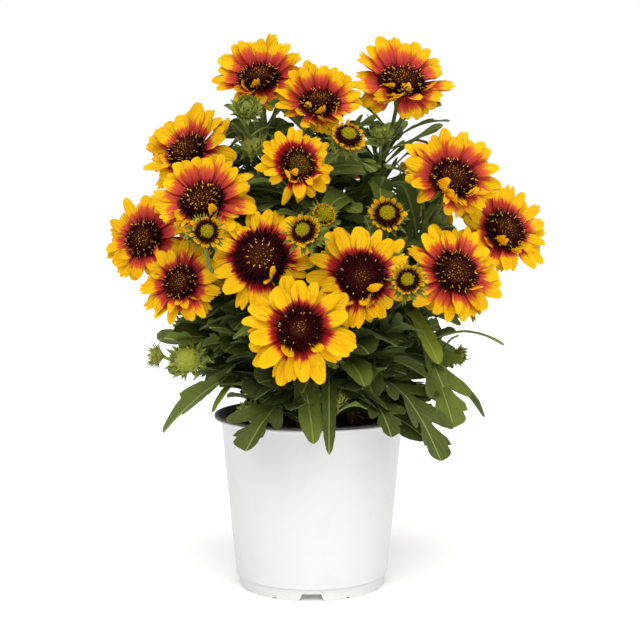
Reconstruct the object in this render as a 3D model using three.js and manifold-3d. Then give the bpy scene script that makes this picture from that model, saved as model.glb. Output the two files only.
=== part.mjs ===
// A blanket flower plant in bloom, standing in a round nursery pot. Millimetres, +Z up.
// The origin is on the pot's axis, in the plane that the pot stands on. -Y is the front.
import * as THREE from "three";
import { mergeVertices } from "three/addons/utils/BufferGeometryUtils.js";
import Module from "manifold-3d";

const wasm = await Module();
wasm.setup();

// ---------------------------------------------------------------- driving dimensions
const POT = {
  sides: 32,
  height: 146,
  rimRadius: 82.5,
  lipDepth: 4.6,
  neckRadius: 77,
  heelRadius: 64.5,
  skirtRadius: 62.2,
  skirtHeight: 9.6,
  wall: 1.8,
  padRadius: 36,
  channelRoof: 7,
};
const NOTCH = { count: 4, foot: 21.5, top: 15.5, height: 6 };
const DRAIN = { radius: 5, ring: 50 };
const SOIL = { sides: 20, level: 134, crown: 2.5, gap: 0.8, depthInPad: 0.5, roughness: 1.3 };
const CLEAR = 0.4; // the gap kept between two pieces that don't grow together
const STEM = { bloom: 1.7, button: 1.5, bud: 1.3, rootDepth: 24, step: 55, neck: 0.15 };
// Rays and disc are for a bloom of radius 40, and scale with it.
const RAY = { count: 14, hub: 11.5, depth: 2, half: 7.2, thick: 0.95, layer: 5 };
const DISC = { sides: 9, seat: 11, radius: 15.5, height: 9.5, relief: 0.9 };
const BUTTON = { stubs: 9 };
// The green back of each kind of head: its width as a share of the head's radius, its depth, the
// slope and length of its sepals, and the [share of width, height] of the globe that closes a bud.
const CALYX = {
  bloom: { width: 0.25, drop: 7, slope: -26, length: 0.34, globe: [] },
  button: { width: 0.6, drop: 6, slope: 8, length: 0.95, globe: [] },
  bud: { width: 0.68, drop: 6, slope: 30, length: 0.9, globe: [[0.92, 0.55]] },
};
const SEPALS = 8; // two to each corner of the stem
const BLADE = { thick: 0.9, fold: 0.22, seat: 0.8, free: 0.3 };
const JOINT = { half: 1.3, apart: 3.2 }; // half the height of a stem's joint, and the room round it
const GOLDEN = 137.5; // degrees between one leaf and the next round a stem
const BASAL_SPREAD = 230; // degrees over which a shoot's basal leaves fan out from the crown
const ROOT_SEED = 41;
const FINISH = {
  pot: { color: 0xf2f2f0, roughness: 0.45 },
  soil: { color: 0x241a14, roughness: 0.95 },
  green: { color: 0x4c6b2a, roughness: 0.6 },
  rays: { color: 0xf7bd1c, roughness: 0.55 },
  disc: { color: 0x3a1512, roughness: 0.85 },
  button: { color: 0xa9a233, roughness: 0.7 },
};

// Where each shoot comes out of the soil, [x, y].
const SHOOTS = {
  shoot_01: [-15, -6],
  shoot_02: [17, -5],
  shoot_03: [1, -15],
  shoot_04: [-34, -5],
  shoot_05: [-29, -24],
  shoot_06: [-11, -34],
  shoot_07: [12, -33],
  shoot_08: [32, -22],
  shoot_09: [36, 4],
  shoot_10: [17, 20],
  shoot_11: [-17, 19],
};

const kindOf = (kind) => (name, shoot, at, faces, radius, more) => ({
  kind, name, shoot, at, faces, radius, ...more,
});
const [bloom, button, bud] = ["bloom", "button", "bud"].map(kindOf);
// Every flower head: the shoot that bears it, the middle of its back, the way it faces as
// [azimuth, elevation] in degrees, and its radius. "from" is how far up the shoot's first stem
// this one forks off. "cup" lifts the rays out of the head's plane, in degrees. "neck" says how
// far the stem runs straight to the head, [along the head's axis, up], where it isn't usual.
const HEADS = [
  bloom("01", "shoot_01", [-42, -16, 422], [-97, 34], 38, { cup: 15 }),
  bloom("02", "shoot_03", [6, -44, 400], [-86, 34], 36, { cup: 15 }),
  bloom("03", "shoot_02", [73, -20, 418], [-78, 34], 43, { cup: 10 }),
  bloom("04", "shoot_04", [-98, -28, 362], [-120, 32], 41, { cup: 13 }),
  bloom("05", "shoot_05", [-83, -82, 322], [-100, 28], 40, { cup: 10 }),
  bloom("06", "shoot_04", [-134, -34, 292], [-110, 18], 38, { cup: 6, from: 0.42 }),
  bloom("07", "shoot_03", [-12, -90, 350.5], [-68, 14], 30.5, { cup: 6, from: 0.5 }),
  bloom("08", "shoot_08", [110, -60, 340], [-74, 24], 41, { cup: 9 }),
  bloom("09", "shoot_09", [156, -22, 298], [-64, 22], 41, { cup: 6 }),
  bloom("10", "shoot_08", [111, -78, 267], [-70, 20], 40, { cup: 6, from: 0.4 }),
  bloom("11", "shoot_07", [38, -108, 265], [-86, 16], 41, { cup: 4 }),
  bloom("12", "shoot_06", [-38, -98, 280], [-94, 16], 41, { cup: 2 }),
  bloom("13", "shoot_05", [-101, -74, 259], [-108, 18], 34.5, { cup: 2, from: 0.4 }),
  bloom("14", "shoot_07", [-8, -138, 229], [-92, 12], 41, { cup: 0, from: 0.3 }),
  bloom("15", "shoot_11", [-88, 66, 308], [142, 40], 38, { cup: 8 }),
  bloom("16", "shoot_10", [8, 70, 348], [92, 48], 38, { cup: 10 }),
  bloom("17", "shoot_10", [104, 58, 328], [44, 40], 38, { cup: 8, from: 0.45 }),
  bloom("18", "shoot_11", [-72, 112, 252], [118, 22], 39, { cup: 4, from: 0.35 }),
  bloom("19", "shoot_10", [34, 126, 270], [80, 22], 39, { cup: 4, from: 0.3 }),
  bloom("20", "shoot_09", [128, 70, 250], [26, 24], 37, { cup: 6, from: 0.3 }),
  button("21", "shoot_03", [27.5, -78, 371], [-76, 38], 13.5, { from: 0.8, neck: [10, 10] }),
  button("22", "shoot_05", [-78, -130, 301], [-80, 10], 13, { from: 0.5, neck: [10, 45] }),
  button("23", "shoot_03", [-4, -132, 300], [-106, 24], 14, { from: 0.42, neck: [30, 20] }),
  button("24", "shoot_07", [59, -82, 312], [-90, 22], 14, { from: 0.62 }),
  button("25", "shoot_08", [73, -126, 264], [-96, 18], 13, { from: 0.3 }),
  button("26", "shoot_06", [9, -94, 312], [-76, 24], 11, { from: 0.75 }),
  button("27", "shoot_11", [-40, 92, 322], [108, 44], 13, { from: 0.6 }),
  bud("28", "shoot_01", [-52, -54, 396], [-76, 40], 11, { from: 0.66 }),
  bud("29", "shoot_01", [-47, -30, 367], [-100, 58], 11, { from: 0.6 }),
  bud("30", "shoot_02", [56, -36, 376], [-90, 70], 9, { from: 0.62 }),
  bud("31", "shoot_04", [-124, -62, 201], [-160, 4], 7, { from: 0.14 }),
  bud("32", "shoot_05", [-98, -72, 199], [-104, 16], 10.5, { from: 0.16 }),
  bud("33", "shoot_05", [-50, -76, 158], [-110, 60], 7.5, { from: 0.03 }),
  bud("34", "shoot_07", [21, -84, 168], [-90, 64], 7, { from: 0.04 }),
  bud("35", "shoot_09", [121, -22, 197], [-40, -12], 7.5, { from: 0.2 }),
  bud("36", "shoot_11", [-112, 52, 214], [150, 30], 9, { from: 0.2 }),
  bud("37", "shoot_10", [88, 108, 214], [50, 30], 9, { from: 0.18 }),
];

// Leaf outlines: for each station along the midrib, [share of length, share of half width, how far
// the edge sweeps on towards the tip].
const OUTLINES = {
  lance: [[0.4, 0.8, 0], [0.74, 1, 0], [1, 0, 0]],
  toothed: [[0.4, 0.72, 0.04], [0.5, 0.6, 0], [0.7, 1, 0.04], [1, 0, 0]],
  lobed: [
    [0.3, 0.28, 0], [0.44, 0.86, 0.09], [0.48, 0.32, 0],
    [0.64, 1, 0.09], [0.68, 0.36, 0], [0.86, 0.56, 0.02], [1, 0, 0],
  ],
};

// The leaves that show most, each grown from a head's stem at a share of its length to a tip,
// with its half width, how high it arches, and its roll about the midrib in degrees.
const NAMED_LEAVES = [
  { stem: "32", up: 0.35, tip: [-117, -85, 143], half: 8, arch: 8, roll: 18, outline: "toothed" },
  { stem: "32", up: 0.2, tip: [-78, -80, 158], half: 6, arch: 10, roll: 10, outline: "lance" },
  { stem: "32", up: 0.65, tip: [-116, -78, 217], half: 7, arch: 6, roll: 30, outline: "toothed" },
  { stem: "32", up: 0.55, tip: [-111, -85, 180], half: 5.5, arch: 4, roll: 0, outline: "lance" },
  { stem: "11", up: 0.12, tip: [-50, -112, 133], half: 15, arch: 24, roll: 0, outline: "lobed" },
  { stem: "12", up: 0.12, tip: [-1, -115, 137], half: 7.5, arch: 26, roll: 0, outline: "toothed" },
  { stem: "11", up: 0.06, tip: [8, -112, 126], half: 5, arch: 34, roll: 0, outline: "lance" },
  { stem: "11", up: 0.2, tip: [32, -112, 145], half: 8, arch: 22, roll: 0, outline: "lance" },
  { stem: "08", up: 0.04, tip: [62, -108, 143], half: 8, arch: 22, roll: 0, outline: "toothed" },
  { stem: "08", up: 0.12, tip: [101, -100, 123], half: 19, arch: 30, roll: -8, outline: "lobed" },
  { stem: "20", up: 0.12, tip: [114, -60, 140], half: 14, arch: 24, roll: 0, outline: "lobed" },
  { stem: "35", up: 0.6, tip: [143, -30, 146], half: 7.5, arch: 8, roll: -24, outline: "lance" },
  { stem: "35", up: 0.5, tip: [156, -50, 208], half: 4, arch: 16, roll: 0, outline: "lance" },
  { stem: "11", up: 0.34, tip: [41, -112, 183], half: 10, arch: 12, roll: 0, outline: "lance" },
  { stem: "10", up: 0.25, tip: [100, -85, 197], half: 8, arch: 8, roll: 0, outline: "toothed" },
  { stem: "10", up: 0.15, tip: [104, -80, 178], half: 9, arch: 12, roll: 0, outline: "lobed" },
  { stem: "03", up: 0.42, tip: [59, -40, 344], half: 11, arch: 4, roll: -40, outline: "lance" },
  { stem: "01", up: 0.7, tip: [-65, -25, 388], half: 7, arch: 4, roll: 20, outline: "lance" },
  { stem: "01", up: 0.78, tip: [-22, -10, 391], half: 6.5, arch: 4, roll: -20, outline: "lance" },
  { stem: "03", up: 0.72, tip: [110, 6, 388], half: 6, arch: 4, roll: 20, outline: "lance" },
];
// Leaves that follow the rule: "basal" ones round the foot of each shoot, and those of a first
// stem, of a bloom's fork, and of the others. "pair" is how many leave the stem at one joint,
// "half" the half width as a share of the length, "climb" the least and most slope in degrees.
const LEAF_RULE = {
  basal: { count: 8, pair: 4, first: 0.05, last: 0.15, long: 112, short: 92, half: 0.125, climb: [22, 72] },
  main: { count: 10, pair: 2, first: 0.24, last: 0.84, long: 88, short: 56, half: 0.14, climb: [12, 66] },
  bloom: { count: 5, pair: 2, first: 0.25, last: 0.75, long: 68, short: 50, half: 0.14, climb: [10, 60] },
  button: { count: 3, pair: 1, first: 0.3, last: 0.8, long: 50, short: 36, half: 0.14, climb: [5, 50] },
  bud: { count: 2, pair: 1, first: 0.4, last: 0.8, long: 36, short: 26, half: 0.14, climb: [5, 45] },
};
// Ways to shift a named leaf that would touch something: [share up the stem, x, y, z].
const NUDGES = [
  [0, 0, 0, 0], [0.03, 0, -3, 2], [-0.03, 0, -3, -2], [0.06, 3, -5, 3], [0.03, -3, -5, 3], [0, 5, -6, 0],
  [0, -5, -6, 0], [0.09, 0, -8, 4], [0.12, 0, -10, 6], [0.12, 6, -10, 6], [0.12, -6, -10, 6],
];
const TURNS = [0, 25, -25, 50, -50, 80, -80, 115, -115, 150, -150, 180]; // degrees, in this order
const TILTS = [0, 18, -18]; // degrees, tried for every turn
const SHRINKS = [1, 0.75]; // shares of the leaf's length, tried after the tilts

// ---------------------------------------------------------------- small tools
const rad = THREE.MathUtils.degToRad;
const vec = (a) => new THREE.Vector3(...a);

/** A repeatable draw of numbers from 0 to 1. */
function seeded(seed) {
  let state = seed >>> 0;
  return () => {
    state = (state + 0x6d2b79f5) | 0;
    let t = Math.imul(state ^ (state >>> 15), 1 | state);
    t = (t + Math.imul(t ^ (t >>> 7), 61 | t)) ^ t;
    return ((t ^ (t >>> 14)) >>> 0) / 4294967296;
  };
}

/** A closed geometry as a solid, its faces turned outwards. */
function solid(geometry) {
  const bare = geometry.clone();
  bare.deleteAttribute("normal");
  bare.deleteAttribute("uv");
  const merged = mergeVertices(bare, 1e-4);
  const index = merged.index.array;
  const kept = [];
  for (let i = 0; i < index.length; i += 3) {
    const [a, b, c] = [index[i], index[i + 1], index[i + 2]];
    if (a !== b && b !== c && a !== c) kept.push(a, b, c);
  }
  const build = (tris) =>
    new wasm.Manifold(
      new wasm.Mesh({
        numProp: 3,
        vertProperties: merged.attributes.position.array,
        triVerts: new Uint32Array(tris),
      }),
    );
  const made = build(kept);
  if (made.volume() > 0) return made;
  for (let i = 0; i < kept.length; i += 3) [kept[i + 1], kept[i + 2]] = [kept[i + 2], kept[i + 1]];
  return build(kept);
}

/** Solids joined into one, without any scrap that stays loose of it. */
function fuse(solids) {
  const whole = solids.reduce((a, b) => a.add(b));
  return whole.decompose().reduce((a, b) => (b.volume() > a.volume() ? b : a));
}

/** A named mesh made from a solid. */
function meshOf(name, made, finish) {
  const data = made.getMesh();
  const points = new Float32Array(data.numVert * 3);
  for (let i = 0; i < data.numVert; i++) {
    points.set(data.vertProperties.subarray(i * data.numProp, i * data.numProp + 3), i * 3);
  }
  const geometry = new THREE.BufferGeometry()
    .setAttribute("position", new THREE.BufferAttribute(points, 3))
    .setIndex(new THREE.BufferAttribute(data.triVerts, 1));
  geometry.computeVertexNormals();
  const mesh = new THREE.Mesh(geometry, new THREE.MeshStandardMaterial({ ...finish, metalness: 0 }));
  mesh.name = name;
  return mesh;
}

/** One closed skin over loose corners, given as triangles of corner numbers. */
function shell({ corners, triangles }) {
  const geometry = new THREE.BufferGeometry().setFromPoints(corners);
  geometry.setIndex(triangles.flat());
  return solid(geometry);
}

/** Adds corners to a growing skin and gives their numbers. */
function addCorners(skin, points) {
  const first = skin.corners.length;
  skin.corners.push(...points);
  return points.map((_, i) => first + i);
}

/** The middle of some corners of a skin. */
function middleOf(skin, corners) {
  const sum = new THREE.Vector3();
  corners.forEach((corner) => sum.add(skin.corners[corner]));
  return sum.divideScalar(corners.length);
}

/** Lays a quad [a, b, c, d] as two triangles that bulge away from a point inside the skin. */
function layQuad(skin, [a, b, c, d], inside) {
  const out = middleOf(skin, [a, b, c, d]).sub(inside);
  const bulge = middleOf(skin, [a, c]).dot(out) - middleOf(skin, [b, d]).dot(out);
  if (bulge > 0) skin.triangles.push([a, b, c], [a, c, d]);
  else skin.triangles.push([a, b, d], [b, c, d]);
}

/** Joins side k of one loop of corners to the next loop out. Loops run clockwise as seen from
 *  the far end. A folded blade's are [edge, midrib, edge, keel]: its quads are split from their
 *  edge corners, alike on both faces. Other loops bulge. */
function joinSide(skin, near, far, k, folded) {
  const next = (k + 1) % near.length;
  const [a, b, c, d] = [near[k], far[k], far[next], near[next]];
  if (!folded) layQuad(skin, [a, b, c, d], middleOf(skin, [...near, ...far]));
  else if (k % 2 === 0) skin.triangles.push([a, b, c], [a, c, d]);
  else skin.triangles.push([a, b, d], [b, c, d]);
}

/** Grows a blade out of a quad of the skin, whose corners are its upper left and right and its
 *  lower right and left. A last ring of one point is a tip. The sides of its root bulge, except
 *  where the next blade's root meets them. */
function sprout(skin, [topLeft, topRight, lowRight, lowLeft], rings, meets = false) {
  let near = addCorners(skin, rings[0]);
  const [left, right, keel] = [near[0], near.at(-2), near.at(-1)];
  const inside = middleOf(skin, [topLeft, topRight, lowRight, lowLeft, ...near]);
  if (near.length === 3) layQuad(skin, [topLeft, left, right, topRight], inside);
  else {
    skin.triangles.push([topLeft, left, near[1]], [topLeft, near[1], topRight]);
    skin.triangles.push([topRight, near[1], right]);
  }
  if (meets) {
    skin.triangles.push([topRight, right, keel], [topRight, keel, lowRight]);
    skin.triangles.push([topLeft, keel, left], [topLeft, lowLeft, keel]);
  } else {
    layQuad(skin, [topRight, right, keel, lowRight], inside);
    layQuad(skin, [lowLeft, keel, left, topLeft], inside);
  }
  skin.triangles.push([lowLeft, lowRight, keel]);
  for (const ring of rings.slice(1)) {
    const far = addCorners(skin, ring);
    near.forEach((corner, k) => {
      if (far.length > 1) joinSide(skin, near, far, k, near.length === 4);
      else skin.triangles.push([corner, far[0], near[(k + 1) % near.length]]);
    });
    near = far;
  }
  if (near.length > 1) skin.triangles.push([near[0], near[2], near[1]]);
}

/** A profile of [radius, height] turned about an axis through "at" along "axis". */
function turned(profile, sides, at, axis, shift = () => 1) {
  const geometry = new THREE.LatheGeometry(
    profile.map(([r, h]) => new THREE.Vector2(r, h)),
    sides,
  );
  const position = geometry.attributes.position;
  for (let i = 0; i < position.count; i++) {
    const ring = i % profile.length;
    const side = Math.floor(i / profile.length) % sides;
    const [grow, lift] = [shift(ring, side), shift.lift ? shift.lift(ring, side) : 0];
    position.setXYZ(i, position.getX(i) * grow, position.getY(i) + lift, position.getZ(i) * grow);
  }
  const turn = new THREE.Quaternion().setFromUnitVectors(new THREE.Vector3(0, 1, 0), axis);
  geometry.applyQuaternion(turn);
  geometry.translate(at.x, at.y, at.z);
  return solid(geometry);
}

const UP = new THREE.Vector3(0, 0, 1);

// ---------------------------------------------------------------- pot and soil
/** The pot: a tapered wall with a rolled lip, a stepped foot, and a base whose middle rests on
 *  the ground inside a raised, drained channel. */
function makePot() {
  const { height, rimRadius, lipDepth, neckRadius, heelRadius, skirtRadius, skirtHeight, wall } = POT;
  const lipFoot = height - lipDepth;
  const profile = [
    [0, 0],
    [POT.padRadius, 0],
    [POT.padRadius + 3, POT.channelRoof],
    [skirtRadius - 4, POT.channelRoof],
    [skirtRadius - 2.6, 0],
    [skirtRadius - 0.5, 0],
    [skirtRadius, skirtHeight],
    [heelRadius, skirtHeight + 1],
    [neckRadius, lipFoot],
    [rimRadius - 0.4, lipFoot + 0.6],
    [rimRadius, height - 1.6],
    [rimRadius - 1.6, height],
    [neckRadius - wall, height - 0.6],
    [skirtRadius - 0.4, POT.channelRoof + wall],
    [POT.padRadius + 2, POT.channelRoof + wall],
    [POT.padRadius - 1, wall],
    [0, wall],
  ];
  let pot = turned(profile, POT.sides, new THREE.Vector3(), UP);
  const cut = (half, top, tall, azimuth) => {
    const outline = new THREE.Shape([
      new THREE.Vector2(-half, -1),
      new THREE.Vector2(half, -1),
      new THREE.Vector2(top, tall),
      new THREE.Vector2(-top, tall),
    ]);
    const block = new THREE.ExtrudeGeometry(outline, { depth: 12, bevelEnabled: false });
    block.rotateX(Math.PI / 2);
    block.translate(0, -(skirtRadius - 7), 0);
    block.rotateZ(rad(azimuth));
    pot = pot.subtract(solid(block));
  };
  for (let i = 0; i < NOTCH.count; i++) {
    const azimuth = (360 / NOTCH.count) * i;
    cut(NOTCH.foot / 2, NOTCH.top / 2, NOTCH.height, azimuth);
    const hole = new THREE.CylinderGeometry(DRAIN.radius, DRAIN.radius, 12, 7);
    hole.rotateX(Math.PI / 2);
    hole.translate(0, -DRAIN.ring, POT.channelRoof);
    hole.rotateZ(rad(azimuth + 45));
    pot = pot.subtract(solid(hole));
  }
  return pot;
}

/** The potting mix, with a rough top and a plain hole for each shoot. */
function makeSoil() {
  const { level, crown, gap, depthInPad, roughness } = SOIL;
  const inner = (z) => {
    const [z0, z1] = [POT.channelRoof + POT.wall, POT.height - 0.6];
    const [r0, r1] = [POT.skirtRadius - 0.4, POT.neckRadius - POT.wall];
    return r0 + ((r1 - r0) * (z - z0)) / (z1 - z0);
  };
  const shelf = POT.channelRoof + POT.wall + gap;
  const profile = [
    [0, POT.wall + depthInPad],
    [POT.padRadius - 2.4, POT.wall + depthInPad],
    [POT.padRadius + 0.6, shelf],
    [inner(shelf) - gap, shelf],
    [inner(level) - gap, level],
    [48, level + 0.7 * crown],
    [0, level + crown],
  ];
  const draw = seeded(ROOT_SEED);
  const bumps = Array.from({ length: SOIL.sides }, () => (draw() * 2 - 1) * roughness);
  const keep = () => 1;
  keep.lift = (ring, side) => (ring === 5 ? bumps[side] : 0);
  let soil = turned(profile, SOIL.sides, new THREE.Vector3(), UP, keep);
  for (const [x, y] of Object.values(SHOOTS)) {
    const reach = STEM.rootDepth + 2;
    const hole = new THREE.CylinderGeometry(STEM.bloom + 0.8, STEM.bloom + 0.8, 2 * reach, 6);
    hole.rotateX(Math.PI / 2);
    hole.translate(x, y, SOIL.level);
    soil = soil.subtract(solid(hole));
  }
  return soil;
}

// ---------------------------------------------------------------- flower heads
/** A head's own axes: where it faces, its level side, and its upper side. */
function axesOf(head) {
  const [azimuth, elevation] = head.faces.map(rad);
  const out = new THREE.Vector3(
    Math.cos(elevation) * Math.cos(azimuth),
    Math.cos(elevation) * Math.sin(azimuth),
    Math.sin(elevation),
  );
  const side = new THREE.Vector3().crossVectors(UP, out).normalize();
  const upper = new THREE.Vector3().crossVectors(out, side);
  return { at: vec(head.at), out, side, upper };
}

/** The point of a head at an angle round it, a radius, and a height above its back. */
function onHead(axes, angle, radius, height) {
  return axes.at
    .clone()
    .addScaledVector(axes.side, Math.cos(angle) * radius)
    .addScaledVector(axes.upper, Math.sin(angle) * radius)
    .addScaledVector(axes.out, height);
}

/** The [left edge, right edge, keel] of a ray at each station along it. A station is
 *  [share of length, half width, rise in degrees from there on]. */
function rayRings(axes, { angle, root, height, length, stations, twist }) {
  const radial = onHead(axes, angle, 1, 0).sub(axes.at);
  const around = new THREE.Vector3().crossVectors(axes.out, radial);
  let [radius, rise, reached, slope] = [root, height, 0, stations[0][2]];
  return stations.map(([share, half, next]) => {
    radius += Math.cos(rad(slope)) * length * (share - reached);
    rise += Math.sin(rad(slope)) * length * (share - reached);
    [reached, slope] = [share, next];
    const centre = onHead(axes, angle, radius, rise);
    const face = radial.clone().multiplyScalar(-Math.sin(rad(next)));
    face.addScaledVector(axes.out, Math.cos(rad(next)));
    const roll = rad(twist) * share;
    const edge = around.clone().multiplyScalar(Math.cos(roll)).addScaledVector(face, Math.sin(roll));
    const down = face.clone().multiplyScalar(Math.cos(roll)).addScaledVector(around, -Math.sin(roll));
    return [
      centre.clone().addScaledVector(edge, -half),
      centre.clone().addScaledVector(edge, half),
      centre.clone().addScaledVector(down, -RAY.thick),
    ];
  });
}

/** The ring of rays of an open bloom: a thin hub whose every side runs out into a ray. The rays
 *  are in two layers, by turns. */
function makeRays(head) {
  const axes = axesOf(head);
  const draw = seeded(ROOT_SEED + 100 * Number(head.name));
  const scale = head.radius / 40;
  const [count, hub, step] = [RAY.count, RAY.hub * scale, (2 * Math.PI) / RAY.count];
  const skin = { corners: [], triangles: [] };
  const [middle, underside] = addCorners(skin, [onHead(axes, 0, 0, RAY.depth), onHead(axes, 0, 0, 0)]);
  const ringOf = (height) =>
    addCorners(skin, Array.from({ length: count }, (_, i) => onHead(axes, (i - 0.5) * step, hub, height)));
  const [top, low] = [ringOf(RAY.depth), ringOf(RAY.depth - RAY.thick)];
  for (let i = 0; i < count; i++) {
    const next = (i + 1) % count;
    const half = RAY.half * scale * (0.94 + 0.12 * draw());
    const rise = head.cup + 5 * (draw() - 0.5) + (i % 2 ? RAY.layer : -RAY.layer);
    const curl = 14 * (draw() - 0.5) - 9;
    const rings = rayRings(axes, {
      angle: (i + 0.22 * (draw() - 0.5)) * step,
      root: hub,
      height: RAY.depth,
      length: head.radius * (0.95 + 0.1 * draw()) - hub,
      twist: 16 * (draw() - 0.5),
      stations: [[0, half, rise], [0.7, half, rise + curl], [1, half * 0.5, rise + curl]],
    });
    skin.triangles.push([middle, top[i], top[next]], [underside, low[next], low[i]]);
    sprout(skin, [top[i], top[next], low[next], low[i]], rings.slice(1), true);
  }
  return shell(skin);
}

/** The triangles of a rim that runs out in points, and of the dome over it. Each of the "count"
 *  places has corners in a row from "first" on: keel, valley, point, then one to a dome ring. */
function rimAndDome(first, count, rings, apex) {
  const size = 3 + rings;
  const triangles = [];
  for (let i = 0; i < count; i++) {
    const [m, nm] = [first + i * size, first + ((i + 1) % count) * size];
    const [v, t, nv] = [m + 1, m + 2, nm + 1];
    triangles.push([m, nm, nv], [m, nv, t], [m, t, v], [t, nv, v]);
    let [a, b] = [v, nv];
    for (let k = 0; k < rings; k++) {
      const [c, d] = [m + 3 + k, nm + 3 + k];
      triangles.push([a, b, d], [a, d, c]);
      [a, b] = [c, d];
    }
    triangles.push([a, b, apex]);
  }
  return triangles;
}

/** The corners that rimAndDome joins: [radius, height] of keel, rim and rings, and the points. */
function rimCorners(axes, { keel, rim, points, rings = [] }) {
  const step = (2 * Math.PI) / points.length;
  return points.flatMap(([turn, radius, height], i) => [
    onHead(axes, i * step, ...keel),
    onHead(axes, (i - 0.5) * step, ...rim),
    onHead(axes, i * step + turn, radius, height),
    ...rings.map((ring) => onHead(axes, (i - 0.5) * step, ...ring)),
  ]);
}

/** Points spread round a head: [turn off the even place, radius, height] for each. */
function spread(draw, count, { root, height, length, slope }) {
  return Array.from({ length: count }, () => {
    const [reach, tilt] = [length * (0.88 + 0.24 * draw()), rad(slope + 20 * (draw() - 0.5))];
    const turn = (0.5 * (draw() - 0.5) * Math.PI) / count;
    return [turn, root + Math.cos(tilt) * reach, height + Math.sin(tilt) * reach];
  });
}

/** The dome of disc florets, its florets raised as alternate bumps. */
function makeDisc(head) {
  const axes = axesOf(head);
  const scale = head.radius / 40;
  const seat = RAY.depth + CLEAR;
  const profile = [
    [0, seat],
    [DISC.seat * scale, seat],
    [DISC.radius * scale, seat + 0.4 * DISC.height * scale],
    [DISC.radius * 0.7 * scale, seat + 0.86 * DISC.height * scale],
    [0, seat + DISC.height * scale],
  ];
  const relief = (ring, side) => {
    if (ring < 2 || ring > 3) return 1;
    return 1 + ((ring + side) % 2 ? 1 : -1) * (DISC.relief / DISC.radius) * (ring === 3 ? 2 : 1);
  };
  return turned(profile, DISC.sides, axes.at, axes.out, relief);
}

/** A half-open head: a green dome in a ring of short, upright young rays. */
function makeButton(head) {
  const axes = axesOf(head);
  const draw = seeded(ROOT_SEED + 100 * Number(head.name));
  const [r, count] = [head.radius, BUTTON.stubs];
  const points = spread(draw, count, { root: r * 0.6, height: 2, length: r * 0.5, slope: 48 });
  const rim = { keel: [r * 0.5, 0.2], rim: [r * 0.64, 2.6], points, rings: [[r * 0.5, 5.4]] };
  const corners = [onHead(axes, 0, 0, 0), onHead(axes, 0, 0, 7.2), ...rimCorners(axes, rim)];
  const base = points.map((_, i) => [0, 2 + 4 * ((i + 1) % count), 2 + 4 * i]);
  return shell({ corners, triangles: [...base, ...rimAndDome(2, count, 1, 1)] });
}

// ---------------------------------------------------------------- stems and leaves
/** The four corners of a stem at each point of its centre line, clockwise from its far end. */
function stalkRings(points, radius) {
  const lean = new THREE.Vector3(1, 0, 0);
  return points.map((point, i) => {
    const before = points[Math.max(i - 1, 0)];
    const along = points[Math.min(i + 1, points.length - 1)].clone().sub(before).normalize();
    lean.addScaledVector(along, -lean.dot(along)).normalize();
    const side = new THREE.Vector3().crossVectors(lean, along);
    return [[lean, 1], [side, 1], [lean, -1], [side, -1]].map(([way, sign]) =>
      point.clone().addScaledVector(way, sign * radius),
    );
  });
}

/** The corners of a stem at a share of its length. */
function cornersAt({ rings }, share) {
  const place = Math.min(share * (rings.length - 1), rings.length - 1.0001);
  const [i, part] = [Math.floor(place), place % 1];
  return rings[i].map((corner, k) => corner.clone().lerp(rings[i + 1][k], part));
}

/** The joint of a stem at about a share of its length: a short stretch whose four sides can each
 *  carry a leaf. Joints keep clear of one another and of the stem's own bends. */
function jointAt(stem, share) {
  const [length, bends] = [stem.curve.getLength(), stem.rings.length - 1];
  const near = stem.joints.find((joint) => Math.abs(joint.share - share) * length < 2 * JOINT.apart);
  if (near) return near;
  const bend = Math.round(share * bends) / bends;
  const off = (share - bend) * length;
  const shift = Math.abs(off) < JOINT.apart ? (off < 0 ? -1 : 1) * JOINT.apart - off : 0;
  const joint = { share: share + shift / length, taken: {} };
  stem.joints.push(joint);
  return joint;
}

/** A quad's corners, begun from the one that lets a blade leave it with the least twist. */
function leastTwisted(quad, ring, placeOf = (corner) => corner) {
  const targets = [ring[0], ring.at(-2), ring.at(-1), ring.at(-1)];
  const turns = quad.map((_, turn) => quad.map((_, k) => quad[(k + turn) % 4]));
  const twist = (turn) => turn.reduce((sum, corner, k) => sum + placeOf(corner).distanceTo(targets[k]), 0);
  return turns.reduce((best, turn) => (twist(turn) < twist(best) ? turn : best));
}

/** The side of a stem at a joint that faces a point, the place inside it where a leaf's midrib
 *  starts, and the side's corners, from the upper left round to the lower left. */
function sideFacing(stem, joint, point) {
  const reach = JOINT.half / stem.curve.getLength();
  const [low, high] = [-reach, reach].map((shift) => cornersAt(stem, joint.share + shift));
  const corners = cornersAt(stem, joint.share);
  const middle = corners[0].clone().lerp(corners[2], 0.5);
  const faces = corners.map((corner, k) => corner.clone().lerp(corners[(k + 1) % 4], 0.5));
  const out = point.clone().sub(middle);
  const lean = faces.map((face) => face.clone().sub(middle).normalize().dot(out));
  const side = lean.indexOf(Math.max(...lean));
  const next = (side + 1) % 4;
  const quad = [high[next], high[side], low[side], low[next]];
  return { side, seat: middle.lerp(faces[side], BLADE.seat), quad };
}

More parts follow.
